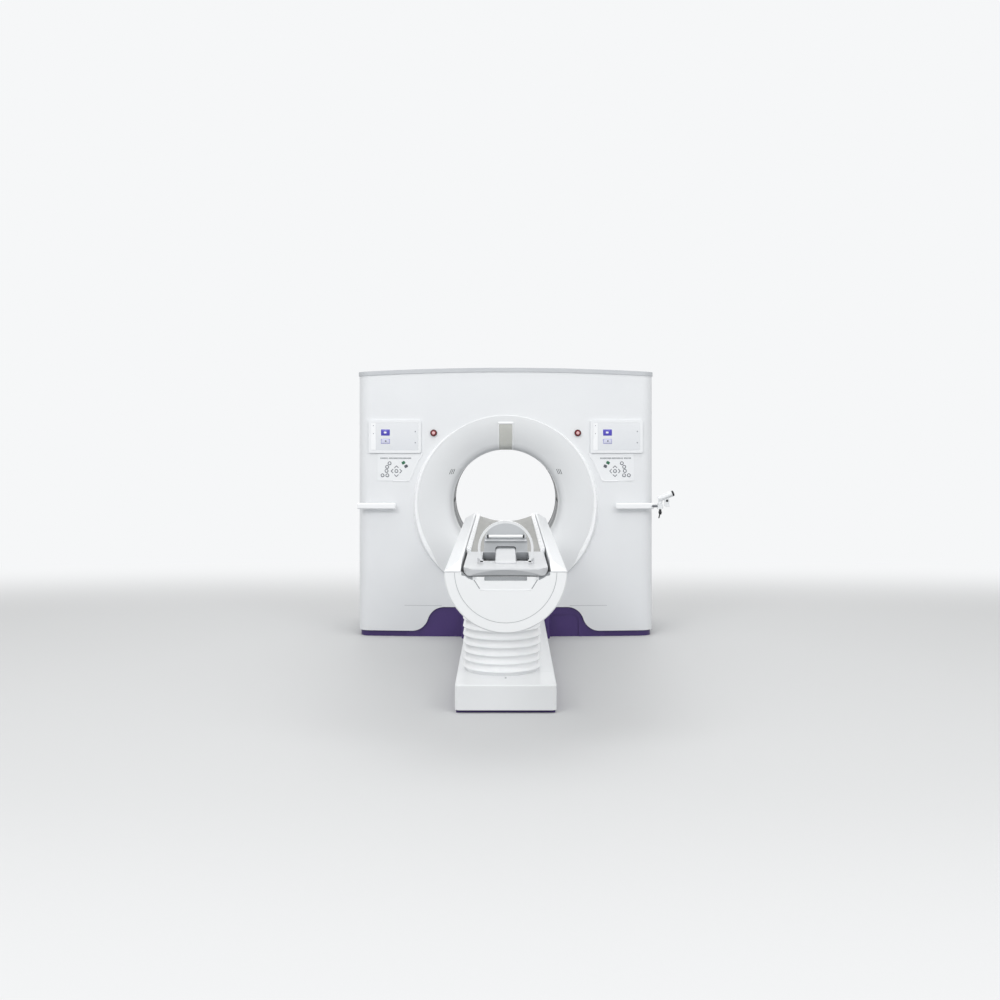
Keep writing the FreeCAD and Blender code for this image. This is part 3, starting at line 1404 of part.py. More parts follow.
def cradle_nodes():
    keep("cradle", cradle())
    keep("mattress", mattress())
    keep("foot_frame", foot_frame())
    keep("hoop", hoop())
    keep("release_lever", release_lever())
    keep("back_plate", back_plate())
    keep("roller_bar", roller_bar())


def check_document():
    """Stop if any object failed to compute or is not a sound shape."""
    DOC.recompute()
    for item in DOC.Objects:
        if "Invalid" in item.State or "Error" in item.State:
            raise RuntimeError("%s did not compute: %s" % (item.Label, item.State))
    for item in NODES:
        if item.Shape.isNull() or not item.Shape.isValid() or not item.Shape.Solids:
            raise RuntimeError("%s is not a sound solid" % item.Label)


def main():
    gantry_nodes()
    control_nodes()
    rotor_nodes()
    table_nodes()
    cradle_nodes()
    check_document()
    os.makedirs("parts", exist_ok=True)
    for item in NODES:
        item.Shape.exportStep("parts/%s.step" % item.Label)


main()
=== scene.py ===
"""CT scanner and its patient table, dressed for rendering.

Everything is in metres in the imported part's own frame: +Z up, +Y from the table into the
gantry, and the origin on the floor straight below the middle of the bore. Left and right are
the picture's, so left is towards -X.
"""
import math

import bmesh
import bpy
import numpy as np
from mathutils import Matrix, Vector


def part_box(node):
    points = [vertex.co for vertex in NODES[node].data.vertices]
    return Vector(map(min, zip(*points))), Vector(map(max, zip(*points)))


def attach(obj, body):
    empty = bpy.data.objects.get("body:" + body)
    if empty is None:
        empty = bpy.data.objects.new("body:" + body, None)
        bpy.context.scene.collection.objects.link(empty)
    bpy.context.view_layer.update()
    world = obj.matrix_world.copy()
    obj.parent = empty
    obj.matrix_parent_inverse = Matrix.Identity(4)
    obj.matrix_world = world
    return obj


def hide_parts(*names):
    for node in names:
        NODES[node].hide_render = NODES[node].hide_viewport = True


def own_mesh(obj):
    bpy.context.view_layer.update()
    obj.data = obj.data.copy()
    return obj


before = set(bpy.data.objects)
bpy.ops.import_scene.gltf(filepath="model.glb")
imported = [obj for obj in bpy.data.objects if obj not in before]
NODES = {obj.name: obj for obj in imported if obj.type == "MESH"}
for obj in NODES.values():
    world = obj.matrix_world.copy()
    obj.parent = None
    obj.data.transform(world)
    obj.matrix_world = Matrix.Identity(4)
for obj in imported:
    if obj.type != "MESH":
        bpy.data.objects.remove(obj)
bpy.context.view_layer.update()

ISO = 1.0  # bore's axis above the floor
ACROSS, UP = np.array((1.0, 0.0, 0.0)), np.array((0.0, 0.0, 1.0))
TO_GANTRY, TO_FOOT = np.array((0.0, 1.0, 0.0)), np.array((0.0, -1.0, 0.0))
SIDES, HANDS = ((-1, "left"), (1, "right")), (-1, 1)

# --- camera and light

PICTURE = 1000  # pixels along each side
FOCAL_PX = 1270.0  # focal length in pixels, solved from the gantry and the table
AXIS_PX = (505.7, 418.0)  # where the lens's own axis meets the picture
CAMERA_PLACE = (0.0, -10.046, 1.639)
BACKDROP = "F6F7F8"


def set_camera():
    """Level camera looking along the bore; the shift puts its axis where the picture has it."""
    lens = bpy.data.cameras.new("camera")
    lens.sensor_width = 36.0
    lens.sensor_fit = "HORIZONTAL"
    lens.lens = FOCAL_PX / PICTURE * lens.sensor_width
    lens.shift_x = (PICTURE / 2 - AXIS_PX[0]) / PICTURE
    lens.shift_y = (AXIS_PX[1] - PICTURE / 2) / PICTURE
    camera = bpy.data.objects.new("camera", lens)
    camera.location = CAMERA_PLACE
    camera.rotation_euler = (math.radians(90), 0, 0)
    bpy.context.scene.collection.objects.link(camera)
    bpy.context.scene.camera = camera


def softbox(name, place, target, width, height, watts):
    """Rectangular studio lamp aimed at a point."""
    light = bpy.data.lights.new(name, "AREA")
    light.shape = "RECTANGLE"
    light.size, light.size_y, light.energy = width, height, watts
    lamp = bpy.data.objects.new(name, light)
    lamp.location = place
    aim = np.subtract(target, place)
    flat = math.hypot(aim[0], aim[1])
    lamp.rotation_euler = (math.atan2(flat, -aim[2]), 0, math.atan2(-aim[0], aim[1]))
    bpy.context.scene.collection.objects.link(lamp)


def set_lights():
    """Wide soft lamps: one overhead, two in front and a weaker one behind."""
    softbox("overhead_softbox", (0.0, -4.5, 7.5), (0.0, -1.8, 0.6), 11.0, 7.0, 205)
    softbox("front_left_softbox", (-4.5, -9.5, 6.6), (0.0, -2.0, 0.8), 4.5, 3.0, 278)
    softbox("front_right_softbox", (5.0, -9.0, 5.8), (0.0, -2.0, 0.7), 3.5, 3.0, 175)
    softbox("rear_softbox", (0.0, 7.0, 4.0), (0.0, 0.5, 1.0), 6.0, 3.0, 130)


# --- material tools

MIX_SHARE, MIX_A, MIX_B, MIX_RESULT = 0, 6, 7, 2  # the Mix node's sockets for colours
NOISE_SPAN = (0.3, 0.7)  # a noise texture hardly leaves it


def colour(code):
    """sRGB hex text such as "E8E9EB" to linear numbers."""
    parts = [int(code[i:i + 2], 16) / 255 for i in (0, 2, 4)]
    linear = [c / 12.92 if c <= 0.04045 else ((c + 0.055) / 1.055) ** 2.4 for c in parts]
    return (*linear, 1.0)


def add(tree, kind, inputs=None, **settings):
    """Add a node: settings are its properties, inputs its sockets' values or their links."""
    node = tree.nodes.new(kind)
    for key, value in settings.items():
        setattr(node, key, value)
    for key, value in (inputs or {}).items():
        if isinstance(value, bpy.types.NodeSocket):
            tree.links.new(value, node.inputs[key])
        else:
            node.inputs[key].default_value = value
    return node


def start_finish(name, code, roughness, **sockets):
    """A material with its shader, its output and the object's coordinates."""
    finish = bpy.data.materials.new(name)
    finish.use_nodes = True
    tree = finish.node_tree
    tree.nodes.clear()
    names = {key.replace("_", " "): value for key, value in sockets.items()}
    shader = add(tree, "ShaderNodeBsdfPrincipled",
                 {"Base Color": colour(code), "Roughness": roughness, **names})
    add(tree, "ShaderNodeOutputMaterial", {"Surface": shader.outputs[0]})
    place = add(tree, "ShaderNodeTexCoord").outputs["Object"]
    return finish, tree, shader, place


def shine(tree, shader, pattern, rough, span=(0.0, 1.0)):
    """Roughness that goes from one value to another as a pattern goes through its span."""
    sheen = add(tree, "ShaderNodeMapRange", {"Value": pattern, "From Min": span[0],
                                             "From Max": span[1], "To Min": rough[0],
                                             "To Max": rough[1]})
    tree.links.new(sheen.outputs[0], shader.inputs["Roughness"])


def vary(tree, shader, place, codes, rough, spot, grain):
    """Two close colours in slow spots and two roughnesses in a fine grain, sizes in metres."""
    spots = add(tree, "ShaderNodeTexNoise", {"Vector": place, "Scale": 1 / spot, "Detail": 3.0})
    tint = add(tree, "ShaderNodeMix", {MIX_SHARE: spots.outputs[0], MIX_A: colour(codes[0]),
                                       MIX_B: colour(codes[1])}, data_type="RGBA")
    grains = add(tree, "ShaderNodeTexNoise", {"Vector": place, "Scale": 1 / grain, "Detail": 2.0})
    tree.links.new(tint.outputs[MIX_RESULT], shader.inputs["Base Color"])
    shine(tree, shader, grains.outputs[0], rough, NOISE_SPAN)


def relief(tree, shader, height, depth, strength=1.0, under=None):
    """Bump of a given depth in metres."""
    inputs = {"Height": height, "Distance": depth, "Strength": strength}
    if under is not None:
        inputs["Normal"] = under.outputs[0]
    bump = add(tree, "ShaderNodeBump", inputs)
    tree.links.new(bump.outputs[0], shader.inputs["Normal"])
    return bump


# --- finishes

def satin_lacquered_shell(name, low, high):
    """Satin lacquer on moulded polyurethane: soft wide reflections and a fine orange peel.

    The real peel is about 1 mm across; 4 mm is the finest that shows from two metres.
    """
    wave_size, wave_depth, peel_size, peel_depth = 0.16, 0.0006, 0.004, 0.00005
    finish, tree, shader, place = start_finish(name, high, 0.34, IOR=1.48, Coat_Weight=0.12,
                                               Coat_Roughness=0.18)
    vary(tree, shader, place, (low, high), (0.30, 0.38), spot=0.5, grain=0.03)
    waves = add(tree, "ShaderNodeTexNoise", {"Vector": place, "Scale": 1 / wave_size,
                                             "Detail": 1.0})
    broad = relief(tree, shader, waves.outputs[0], wave_depth)
    peel = add(tree, "ShaderNodeTexNoise", {"Vector": place, "Scale": 1 / peel_size,
                                            "Detail": 1.0})
    relief(tree, shader, peel.outputs[0], peel_depth, 0.5, broad)
    return finish


def spark_textured_abs(name, low, high, rough=0.55, depth=0.00008):
    """ABS moulded in a spark-textured tool: an even, dull grain with no mirror in it.

    The grain is 0.5 mm; 2 mm is drawn so that it shows in a close view.
    """
    grain_size = 0.002
    finish, tree, shader, place = start_finish(name, high, rough, IOR=1.52)
    vary(tree, shader, place, (low, high), (rough - 0.06, rough + 0.06), spot=0.2, grain=0.01)
    grain = add(tree, "ShaderNodeTexNoise", {"Vector": place, "Scale": 1 / grain_size,
                                             "Detail": 3.0})
    relief(tree, shader, grain.outputs[0], depth, 0.7)
    return finish


def smooth_moulding(name, low, high, rough, coat=0.0):
    """Polished-tool moulding or smooth paint: clean colour, a sharper sheen and no relief."""
    finish, tree, shader, place = start_finish(name, high, rough, IOR=1.5, Coat_Weight=coat)
    vary(tree, shader, place, (low, high), (rough - 0.04, rough + 0.04), spot=0.15, grain=0.02)
    return finish


def powder_coated_casting(name, low, high):
    """Polyester powder on cast iron: satin, with the shallow pebbling that powder leaves."""
    pebble_size, pebble_depth = 0.003, 0.00012
    finish, tree, shader, place = start_finish(name, high, 0.42, IOR=1.5)
    vary(tree, shader, place, (low, high), (0.38, 0.48), spot=0.3, grain=0.008)
    pebbles = add(tree, "ShaderNodeTexNoise", {"Vector": place, "Scale": 1 / pebble_size,
                                               "Detail": 2.0})
    relief(tree, shader, pebbles.outputs[0], pebble_depth, 0.8)
    return finish


def moulded_rubber(name, code, rough=0.7):
    """Black or grey rubber: matt, with a dusty bloom."""
    bloom_size, bloom_depth = 0.006, 0.0001
    finish, tree, shader, place = start_finish(name, code, rough, IOR=1.52)
    bloom = add(tree, "ShaderNodeTexNoise", {"Vector": place, "Scale": 1 / bloom_size,
                                             "Detail": 4.0})
    relief(tree, shader, bloom.outputs[0], bloom_depth, 0.6)
    shine(tree, shader, bloom.outputs[0], (rough - 0.1, rough + 0.1))
    return finish


def worked_metal(name, code, rough, spacing, stretch=(1, 1, 1)):
    """Bare metal with the fine marks of its tool, stretched along the way that it ran."""
    mark_depth = 0.00003
    finish, tree, shader, place = start_finish(name, code, rough, Metallic=1.0)
    run = add(tree, "ShaderNodeMapping", {"Vector": place, "Scale": stretch})
    marks = add(tree, "ShaderNodeTexNoise", {"Vector": run.outputs[0], "Scale": 1 / spacing,
                                             "Detail": 4.0})
    shine(tree, shader, marks.outputs[0], (rough - 0.08, rough + 0.1), NOISE_SPAN)
    relief(tree, shader, marks.outputs[0], mark_depth, 0.6)
    return finish


def turned_metal(name, code, rough, spacing):
    """Metal faced on a lathe about the bore's axis: rings that catch the light in a fan."""
    ring_scale, ring_depth = 1 / 6.28, 0.00005  # draws a ring at every second spacing
    finish, tree, shader, place = start_finish(name, code, rough, Metallic=1.0)
    centred = add(tree, "ShaderNodeMapping", {"Vector": place, "Location": (0, 0, -ISO),
                                              "Rotation": (math.radians(90), 0, 0)})
    rings = add(tree, "ShaderNodeTexWave",
                {"Vector": centred.outputs[0], "Scale": ring_scale / spacing, "Distortion": 1.5,
                 "Detail": 2.0}, wave_type="RINGS", rings_direction="Z")
    shine(tree, shader, rings.outputs[1], (rough - 0.06, rough + 0.08))
    relief(tree, shader, rings.outputs[1], ring_depth, 0.5)
    return finish


def coated_bellows_cloth(name, low, high):
    """Vinyl-coated polyester: slightly glossy, with its cloth's threads showing through.

    The threads are 0.7 mm apart; 3 mm is the finest that a close view resolves.
    """
    turn_per_metre, thread_depth = 2 * math.pi / 0.003, 0.00006
    crease_size, crease_depth = 0.05, 0.0015
    finish, tree, shader, place = start_finish(name, high, 0.42, IOR=1.5, Sheen_Weight=0.1,
                                               Sheen_Roughness=0.5)
    vary(tree, shader, place, (low, high), (0.36, 0.5), spot=0.08, grain=0.01)
    parts = add(tree, "ShaderNodeSeparateXYZ", {"Vector": place})
    waves = []
    for way in ("Z", "Y"):
        turn = add(tree, "ShaderNodeMath", {0: parts.outputs[way], 1: turn_per_metre},
                   operation="MULTIPLY")
        waves.append(add(tree, "ShaderNodeMath", {0: turn.outputs[0]}, operation="SINE"))
    threads = add(tree, "ShaderNodeMath", {0: waves[0].outputs[0], 1: waves[1].outputs[0]},
                  operation="MULTIPLY")
    creases = add(tree, "ShaderNodeTexNoise", {"Vector": place, "Scale": 1 / crease_size,
                                               "Detail": 3.0, "Distortion": 0.6})
    soft = relief(tree, shader, creases.outputs[0], crease_depth, 0.5)
    relief(tree, shader, threads.outputs[0], thread_depth, 0.5, soft)
    return finish


def calendered_vinyl(name, low, high):
    """Soft vinyl over foam: a leather-like emboss with a low sheen.

    The embossed cells are 1.5 mm across, drawn at 4 mm to show.
    """
    cell_size, cell_depth, hollow_size, hollow_depth = 0.004, 0.0002, 0.2, 0.002
    finish, tree, shader, place = start_finish(name, high, 0.5, IOR=1.48, Sheen_Weight=0.08,
                                               Sheen_Roughness=0.4)
    vary(tree, shader, place, (low, high), (0.44, 0.56), spot=0.25, grain=0.02)
    cells = add(tree, "ShaderNodeTexVoronoi", {"Vector": place, "Scale": 1 / cell_size},
                feature="DISTANCE_TO_EDGE")
    hollows = add(tree, "ShaderNodeTexNoise", {"Vector": place, "Scale": 1 / hollow_size,
                                               "Detail": 2.0})
    broad = relief(tree, shader, hollows.outputs[0], hollow_depth, 0.4)
    relief(tree, shader, cells.outputs["Distance"], cell_depth, 0.5, broad)
    return finish


def tinted_polycarbonate(name, low, high):
    """Smoked window over the laser: a clear hard skin over a dull grey-beige inside."""
    finish, tree, shader, place = start_finish(name, high, 0.22, IOR=1.58, Coat_Weight=0.6,
                                               Coat_Roughness=0.06)
    vary(tree, shader, place, (low, high), (0.18, 0.28), spot=0.06, grain=0.01)
    return finish


def cover_glass(name, low, high):
    """Chemically strengthened glass over a lit panel: a sharp gloss, paler towards its head."""
    foot, head = 1.38, 1.62
    finish, tree, shader, place = start_finish(name, high, 0.12, IOR=1.52, Coat_Weight=0.3,
                                               Coat_Roughness=0.04)
    parts = add(tree, "ShaderNodeSeparateXYZ", {"Vector": place})
    fade = add(tree, "ShaderNodeMapRange", {"Value": parts.outputs["Z"], "From Min": foot,
                                            "From Max": head})
    tint = add(tree, "ShaderNodeMix", {MIX_SHARE: fade.outputs[0], MIX_A: colour(low),
                                       MIX_B: colour(high)}, data_type="RGBA")
    tree.links.new(tint.outputs[MIX_RESULT], shader.inputs["Base Color"])
    return finish


FINISHES = {}


def finishes(make, **rows):
    """Make finishes of one kind and dress the nodes that wear them.

    Each row has those nodes' names, the material's name, its colours and its settings.
    """
    for key, (nodes, *row) in rows.items():
        FINISHES[key] = make(*row)
        for name in nodes.split():
            NODES[name].data.materials.clear()
            NODES[name].data.materials.append(FINISHES[key])


finishes(
    satin_lacquered_shell,
    front_shell=("front_cover", "lacquered_front_shell", "DFE1E4", "E7E9EB"),
    side_shell=("side_cover_left side_cover_right rear_cover",
                "lacquered_side_shell", "DFE2E5", "E8EAED"),
    funnel_shell=("funnel_ring funnel_lower_panel rear_funnel",
                  "lacquered_funnel_shell", "DBDDDF", "E3E5E7"),
    table_shell=("base_cover_foot base_cover_middle base_cover_gantry table_housing "
                 "end_cap bellows_flange",
                 "lacquered_table_shell", "E7E9EA", "EEEFF1"),
    # painted shade: the table shell's white lacquer, made darker on the rails because their tops
    # catch more of the overhead lamp
    rail_shell=("rail_left rail_right", "table_rail_lacquer_painted_darker", "DEE0E2", "E5E7E9"),
    panel=("display_bezels", "lacquered_display_surround", "E4E6E9", "ECEEF0"),
)
finishes(
    smooth_moulding,
    # painted highlight: the lip bands are whiter than the cover where the lip's bevel catches the
    # light
    lip=("", "funnel_lip_painted_highlight", "F0F2F4", "F6F7F9", 0.3),
    liner=("front_bore_liner rear_bore_liner", "moulded_bore_liner", "6C6F72", "74777A", 0.42),
    film_window=("scan_window", "polycarbonate_scan_film", "6C6F72", "73767A", 0.36),
    collar=("estop_bezels", "dark_red_stop_collar", "3A1216", "481519", 0.3),
    stop=("estop_button_left estop_button_right",
          "glossy_red_stop_cap", "6B1219", "7C171E", 0.22, 0.4),
    # painted highlight: the stop cap's pale centre stands for light caught on its dome
    stop_centre=("", "painted_pale_stop_highlight", "D9A9AC", "E3BABC", 0.25),
    cradle=("cradle", "painted_carbon_cradle", "E2E4E6", "EAECEE", 0.3, 0.2),
    foot_frame=("foot_frame", "painted_foot_frame", "B8BABD", "C2C4C6", 0.34),
    hoop=("hoop", "painted_steel_hoop", "D6D8DA", "DFE1E2", 0.3),
    roller=("roller_bar", "turned_acetal_roller", "E6E8E9", "EEEFF0", 0.3),
    blue_tile=("", "printed_blue_violet_tile", "4A43B0", "5149BA", 0.3),
    pale_tile=("", "printed_pale_tile", "C9CBE0", "D2D4E6", 0.3),
    grey_mark=("", "printed_grey_mark", "8F949B", "989DA3", 0.4),
    # printed light marks on the screen, and painted highlights on the pad edges, the sunk panel's
    # lip and the back plate's bead
    light_mark=("", "printed_mark_and_painted_highlight", "E9EBEE", "F0F1F3", 0.4),
    green_key=("", "green_membrane_key", "276347", "2F6F51", 0.35),
    dark_key=("", "dark_membrane_key", "4F535A", "5A5E65", 0.35),
    key_rim=("", "grey_key_rim", "63676E", "6F747B", 0.4),
    key_face=("", "white_key_face", "E4E6E9", "ECEEF0", 0.35),
    column_light=("", "printed_pale_column", "EEF0F2", "F3F4F6", 0.35),
    caption=("", "printed_caption_bars", "82868B", "8B8F94", 0.4),
)
finishes(
    spark_textured_abs,
    trim=("top_trim", "textured_abs_trim", "BCBFC3", "C6C9CC", 0.45),
    channel=("side_channels", "textured_abs_channel", "A9ADB2", "B3B7BB"),
    purple_moulding=("base_fascia dock_bridge",
                     "textured_purple_moulding", "3B2763", "46306F", 0.45),
    keypad=("keypads", "printed_polyester_membrane", "E5E7EA", "ECEEF0", 0.4, 0.00003),
    grip=("handles", "textured_white_grip", "EDEFF1", "F3F4F6", 0.5),
    clamp=("", "glass_filled_nylon_clamp", "6B6E73", "777A7F", 0.5),
    controller=("controller_mount controller_body",
                "textured_controller_shell", "DEE0E3", "E8EAEC", 0.45),
    black_nylon=("controller_lever", "black_nylon", "15161A", "1E1F24", 0.45),
    back_plate=("back_plate", "textured_grey_back_plate", "B4B7BA", "BEC1C4", 0.45),
    lever=("release_lever", "textured_lever_grip", "C6C8CB", "D0D2D4", 0.5),
    # painted shade: grey plates in the end cap's notch and pocket, and lines beside its sunk
    # panel
    lining=("", "painted_recess_shade", "8E9194", "989B9E", 0.6),
)
finishes(
    powder_coated_casting,
    casting=("gantry_base table_base_frame", "powder_coated_purple_casting", "37245C", "402B69"),
    frame_steel=("stator_frame", "enamelled_frame_steel", "5A5E65", "666A71"),
    tube=("xray_tube", "enamelled_tube_vessel", "9A9DA2", "A5A8AC"),
    module=("hv_generator cooling_unit drive_motor", "enamelled_module_box", "7C8087", "888C93"),
    table_frame=("top_frame", "enamelled_table_frame", "A4A7AA", "AEB1B4"),
)
finishes(
    moulded_rubber,
    seal=("bore_seals", "black_bore_seal_rubber", "26272B"),
    seam=("", "shadowed_seam", "8E9196", 0.8),
    # painted shade: dark marks for the shade in the speaker slots and in the gap above the tongue
    slot=("", "painted_slot_and_gap_shade", "33353A", 0.8),
    # painted shade: grey plates for the shade inside the hand openings
    tray=("", "painted_opening_shade", "898C90", 0.75),
    # painted shade: grey lines for the shade in the end cap's groove and along the front cover's
    # creases
    groove=("", "shadowed_groove", "B4B7BA", 0.8),
)
finishes(tinted_polycarbonate,
         lens=("laser_window_top", "smoked_polycarbonate_lens", "BCBDB8", "C8C9C4"))
finishes(cover_glass, screen=("display_screens", "strengthened_cover_glass", "DBDEE2", "E5E7EA"))
finishes(
    turned_metal,
    bearing=("bearing_inner bearing_outer", "ground_bearing_steel", "A5A7AA", 0.25, 0.004),
    drum=("rotor_drum", "turned_drum_aluminium", "B9BBBD", 0.35, 0.006),
    slip_ring=("slip_ring", "turned_brass_slip_ring", "B98E4E", 0.3, 0.004),
)
finishes(
    worked_metal,
    collimator=("tube_collimator", "machined_tungsten_alloy", "55575B", 0.4, 0.004),
    detector=("detector_array", "anodised_detector_rail", "4C4F55", 0.35, 0.004),
    column=("lift_column_outer lift_column_lower lift_column_upper lift_column_inner",
            "ground_lift_column_steel", "8F9296", 0.3, 0.003, (1, 1, 0.05)),
)
finishes(coated_bellows_cloth, bellows=("bellows", "coated_bellows_cloth", "E6E8EA", "F0F1F2"))
finishes(calendered_vinyl, vinyl=("mattress", "calendered_vinyl_mat", "8B8B88", "979794"))


# --- surfaces

WELD = 1e-6  # points closer than this become one
LEAST_CORNER = 1e-5  # smallest corner that a tile's ring keeps
BEAD_SIDES, BEAD_BACK = 16, 0.4  # a bead's back reaches this share of its height inwards


def patch(grid, around=False, across=False):
    """Points and quads of a grid; around and across join the last row or column to the first."""
    rows, columns = grid.shape[:2]
    index = np.arange(rows * columns).reshape(rows, columns)
    if around:
        index = np.vstack([index, index[:1]])
    if across:
        index = np.hstack([index, index[:, :1]])
    corners = (index[:-1, :-1], index[1:, :-1], index[1:, 1:], index[:-1, 1:])
    return grid.reshape(-1, 3), np.stack(corners, axis=-1).reshape(-1, 4)


def piece(name, patches, body, finish, smooth=True):
    """One closed piece from one or more patches, riding on a body."""
    points, quads, count = [], [], 0
    for more_points, more_quads in patches:
        points.append(more_points)
        quads.append(more_quads + count)
        count += len(more_points)
    mesh = bpy.data.meshes.new(name)
    mesh.from_pydata(np.vstack(points), [], np.vstack(quads).tolist())
    work = bmesh.new()
    work.from_mesh(mesh)
    bmesh.ops.remove_doubles(work, verts=work.verts, dist=WELD)
    bmesh.ops.recalc_face_normals(work, faces=work.faces)
    work.to_mesh(mesh)
    work.free()
    mesh.polygons.foreach_set("use_smooth", [smooth] * len(mesh.polygons))
    mesh.materials.append(FINISHES[finish])
    item = bpy.data.objects.new(name, mesh)
    bpy.context.scene.collection.objects.link(item)
    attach(item, body)
    return item


def unit(vectors):
    """The vectors' directions, each of length 1."""
    return vectors / np.linalg.norm(vectors, axis=-1, keepdims=True)


def closed_tube(grid):
    """Tube with the grid's rows as its rings; each end is drawn together to its ring's mean."""
    ends = grid.mean(axis=1, keepdims=True).repeat(grid.shape[1], axis=1)
    return patch(np.concatenate([ends[:1], grid, ends[-1:]]), across=True)


def carried(path, up, profile):
    """A closed profile (side, height) carried along a path.

    Each point is path + side * (along x up) + height * up.
    """
    side = unit(np.cross(unit(np.gradient(path, axis=0)), up))
    sideways = profile[None, :, :1] * side[:, None]
    return closed_tube(path[:, None] + sideways + profile[None, :, 1:] * up[:, None])


def low_bead(width, height):
    """Half a flat ellipse with a shallow back: the section of a bead or a printed line."""
    turn = np.linspace(0, 2 * math.pi, BEAD_SIDES, endpoint=False)
    rise = np.where(np.sin(turn) > 0, height, height * BEAD_BACK)
    return np.stack([width / 2 * np.cos(turn), rise * np.sin(turn)], axis=-1)


def tile(centre, u, v, out, width, height, corner, rings, sides=24):
    """Rounded rectangle raised in rings (inset, lift), both ends drawn together.

    The outline's corner arcs are centre +- (half - corner) + corner * (cos, sin).
    """
    turn = (np.arange(sides) + 0.5) * 2 * math.pi / sides
    cosine, sine = np.cos(turn), np.sin(turn)
    rows = []
    for inset, lift in rings:
        bend = max(corner - inset, LEAST_CORNER)
        x = np.sign(cosine) * (width / 2 - inset - bend) + bend * cosine
        y = np.sign(sine) * (height / 2 - inset - bend) + bend * sine
        rows.append(centre + x[:, None] * u + y[:, None] * v + lift * out)
    return closed_tube(np.stack(rows))


def dome(centre, u, v, out, profile, sides=28):
    """A profile of (radius, lift) turned about the line through centre along out."""
    turn = np.linspace(0, 2 * math.pi, sides, endpoint=False)
    ring = np.cos(turn)[:, None] * u + np.sin(turn)[:, None] * v
    grid = [centre + radius * ring + lift * out for radius, lift in profile]
    return patch(np.stack(grid), across=True)


# --- the gantry's front skin

FRONT = -0.540  # front face at the middle
WIDE, CORNER, BULGE = 1.109, 0.095, 0.045  # cover's half width, edge radius, crown
FRONT_RADIUS = ((WIDE - CORNER) ** 2 + BULGE ** 2) / (2 * BULGE)
BORE, RIM = 0.400, 0.656  # funnel's radius in its throat and at its rim
LIP, DEPTH, TIGHT = 0.008, 0.120, 0.090  # its face's stand, depth, tight arc's radius
FACE, THROAT = FRONT - LIP, FRONT + DEPTH
RUN, FALL = RIM - BORE - TIGHT, THROAT - FACE
SLOW = (RUN ** 2 + FALL ** 2 - TIGHT ** 2) / (2 * (FALL - TIGHT))
MEET = RIM - SLOW * math.sin(math.atan2(RUN, SLOW - FALL))  # where the two arcs join
DISPLAY_X, DISPLAY_Z = 0.832, 1.500
SCREEN_LIFT, KEYPAD_LIFT = 0.0115, 0.0025  # their faces in front of the cover's


def front_y(x):
    """The bulged front face is part of an upright cylinder."""
    return FRONT + FRONT_RADIUS - np.sqrt(FRONT_RADIUS ** 2 - np.square(x))


def on_front(x, z, lift=0.0):
    """Points on the front face, and its outward directions there, for arrays of x and z."""
    slope = np.arcsin(x / FRONT_RADIUS)
    out = np.stack([np.sin(slope), -np.cos(slope), np.zeros_like(slope)], axis=-1)
    return np.stack([x, front_y(x), z], axis=-1) + lift * out, out


def on_funnel(x, z, lift=0.0):
    """Points on the funnel's skin straight behind (x, z), and its outward directions.

    The skin's profile is a slow arc from the rim and a tight one into the throat, both
    centred behind it, so the slope's sine is the distance sideways from the centre / radius.
    """
    radius = np.hypot(x, z - ISO)
    slow = radius > MEET
    tight_sine = np.clip((BORE + TIGHT - radius) / TIGHT, 0, 1)
    sine = np.where(slow, (RIM - radius) / SLOW, tight_sine)
    cosine = np.sqrt(1 - sine ** 2)
    y = np.where(slow, FACE + SLOW * (1 - cosine), THROAT - TIGHT * cosine)
    out = np.stack([-sine * x / radius, -cosine, -sine * (z - ISO) / radius], axis=-1)
    return np.stack([x, y, z], axis=-1) + lift * out, out


def bead_on(skin, first, last, bead, steps, lift=0.0):
    """Bead on a skin, straight between two points (x, z) seen from the front."""
    share = np.linspace(0, 1, steps)
    path, out = skin(*[a + (b - a) * share for a, b in zip(first, last)], lift)
    return carried(path, out, bead)


def panel_place(side, level, lift):
    """Middle of a display or keypad, with its sideways and outward directions."""
    x = side * DISPLAY_X
    turn = math.asin(x / FRONT_RADIUS)
    u = np.array((math.cos(turn), math.sin(turn), 0.0))
    out = np.array((math.sin(turn), -math.cos(turn), 0.0))
    return np.array((x, front_y(x), level)) + lift * out, u, out


# --- displays and keypads

PRINT = ((0, -0.0002), (0, 0.0002), (0.0003, 0.0004))
SCREEN_MARKS = ((-0.161, 0.082, 0.007), (-0.161, 0.022, 0.007), (0.156, 0.038, 0.010),
                (0.156, -0.046, 0.010))
# piece, finish, smooth shading, and tiles as x and z from the display's middle, lift, width,
# height and corner
SCREEN = (
    ("screen_column_", "column_light", False, ((-0.161, 0, 0.0006, 0.034, 0.203, 0.004),)),
    ("screen_blue_tile_", "blue_tile", True, ((-0.070, 0.030, 0, 0.067, 0.047, 0.003),)),
    ("screen_tile_edge_", "blue_tile", True, ((-0.070, -0.036, 0, 0.066, 0.035, 0.003),)),
    ("screen_pale_tile_", "pale_tile", True, ((-0.070, -0.036, 0.0003, 0.061, 0.030, 0.002),)),
    ("screen_marks_", "grey_mark", True, [(x, z, 0.0010, size, size, size / 2.1)
                                          for x, z, size in SCREEN_MARKS]),
    ("screen_tile_dot_", "dark_key", True, ((-0.068, -0.034, 0.0006, 0.012, 0.012, 0.005),)),
    ("screen_tile_mark_", "light_mark", True, ((-0.072, 0.030, 0.0003, 0.020, 0.014, 0.005),)),
)


def display_layout(side, hand):
    """What the screen shows: a pale column with two dots, two tiles and two round marks."""
    middle, u, out = panel_place(side, DISPLAY_Z, SCREEN_LIFT)
    for name, finish, smooth, tiles in SCREEN:
        shapes = [tile(middle + x * u + z * UP + lift * out, u, UP, out, *shape, PRINT)
                  for x, z, lift, *shape in tiles]
        piece(name + hand, shapes, "frame", finish, smooth)


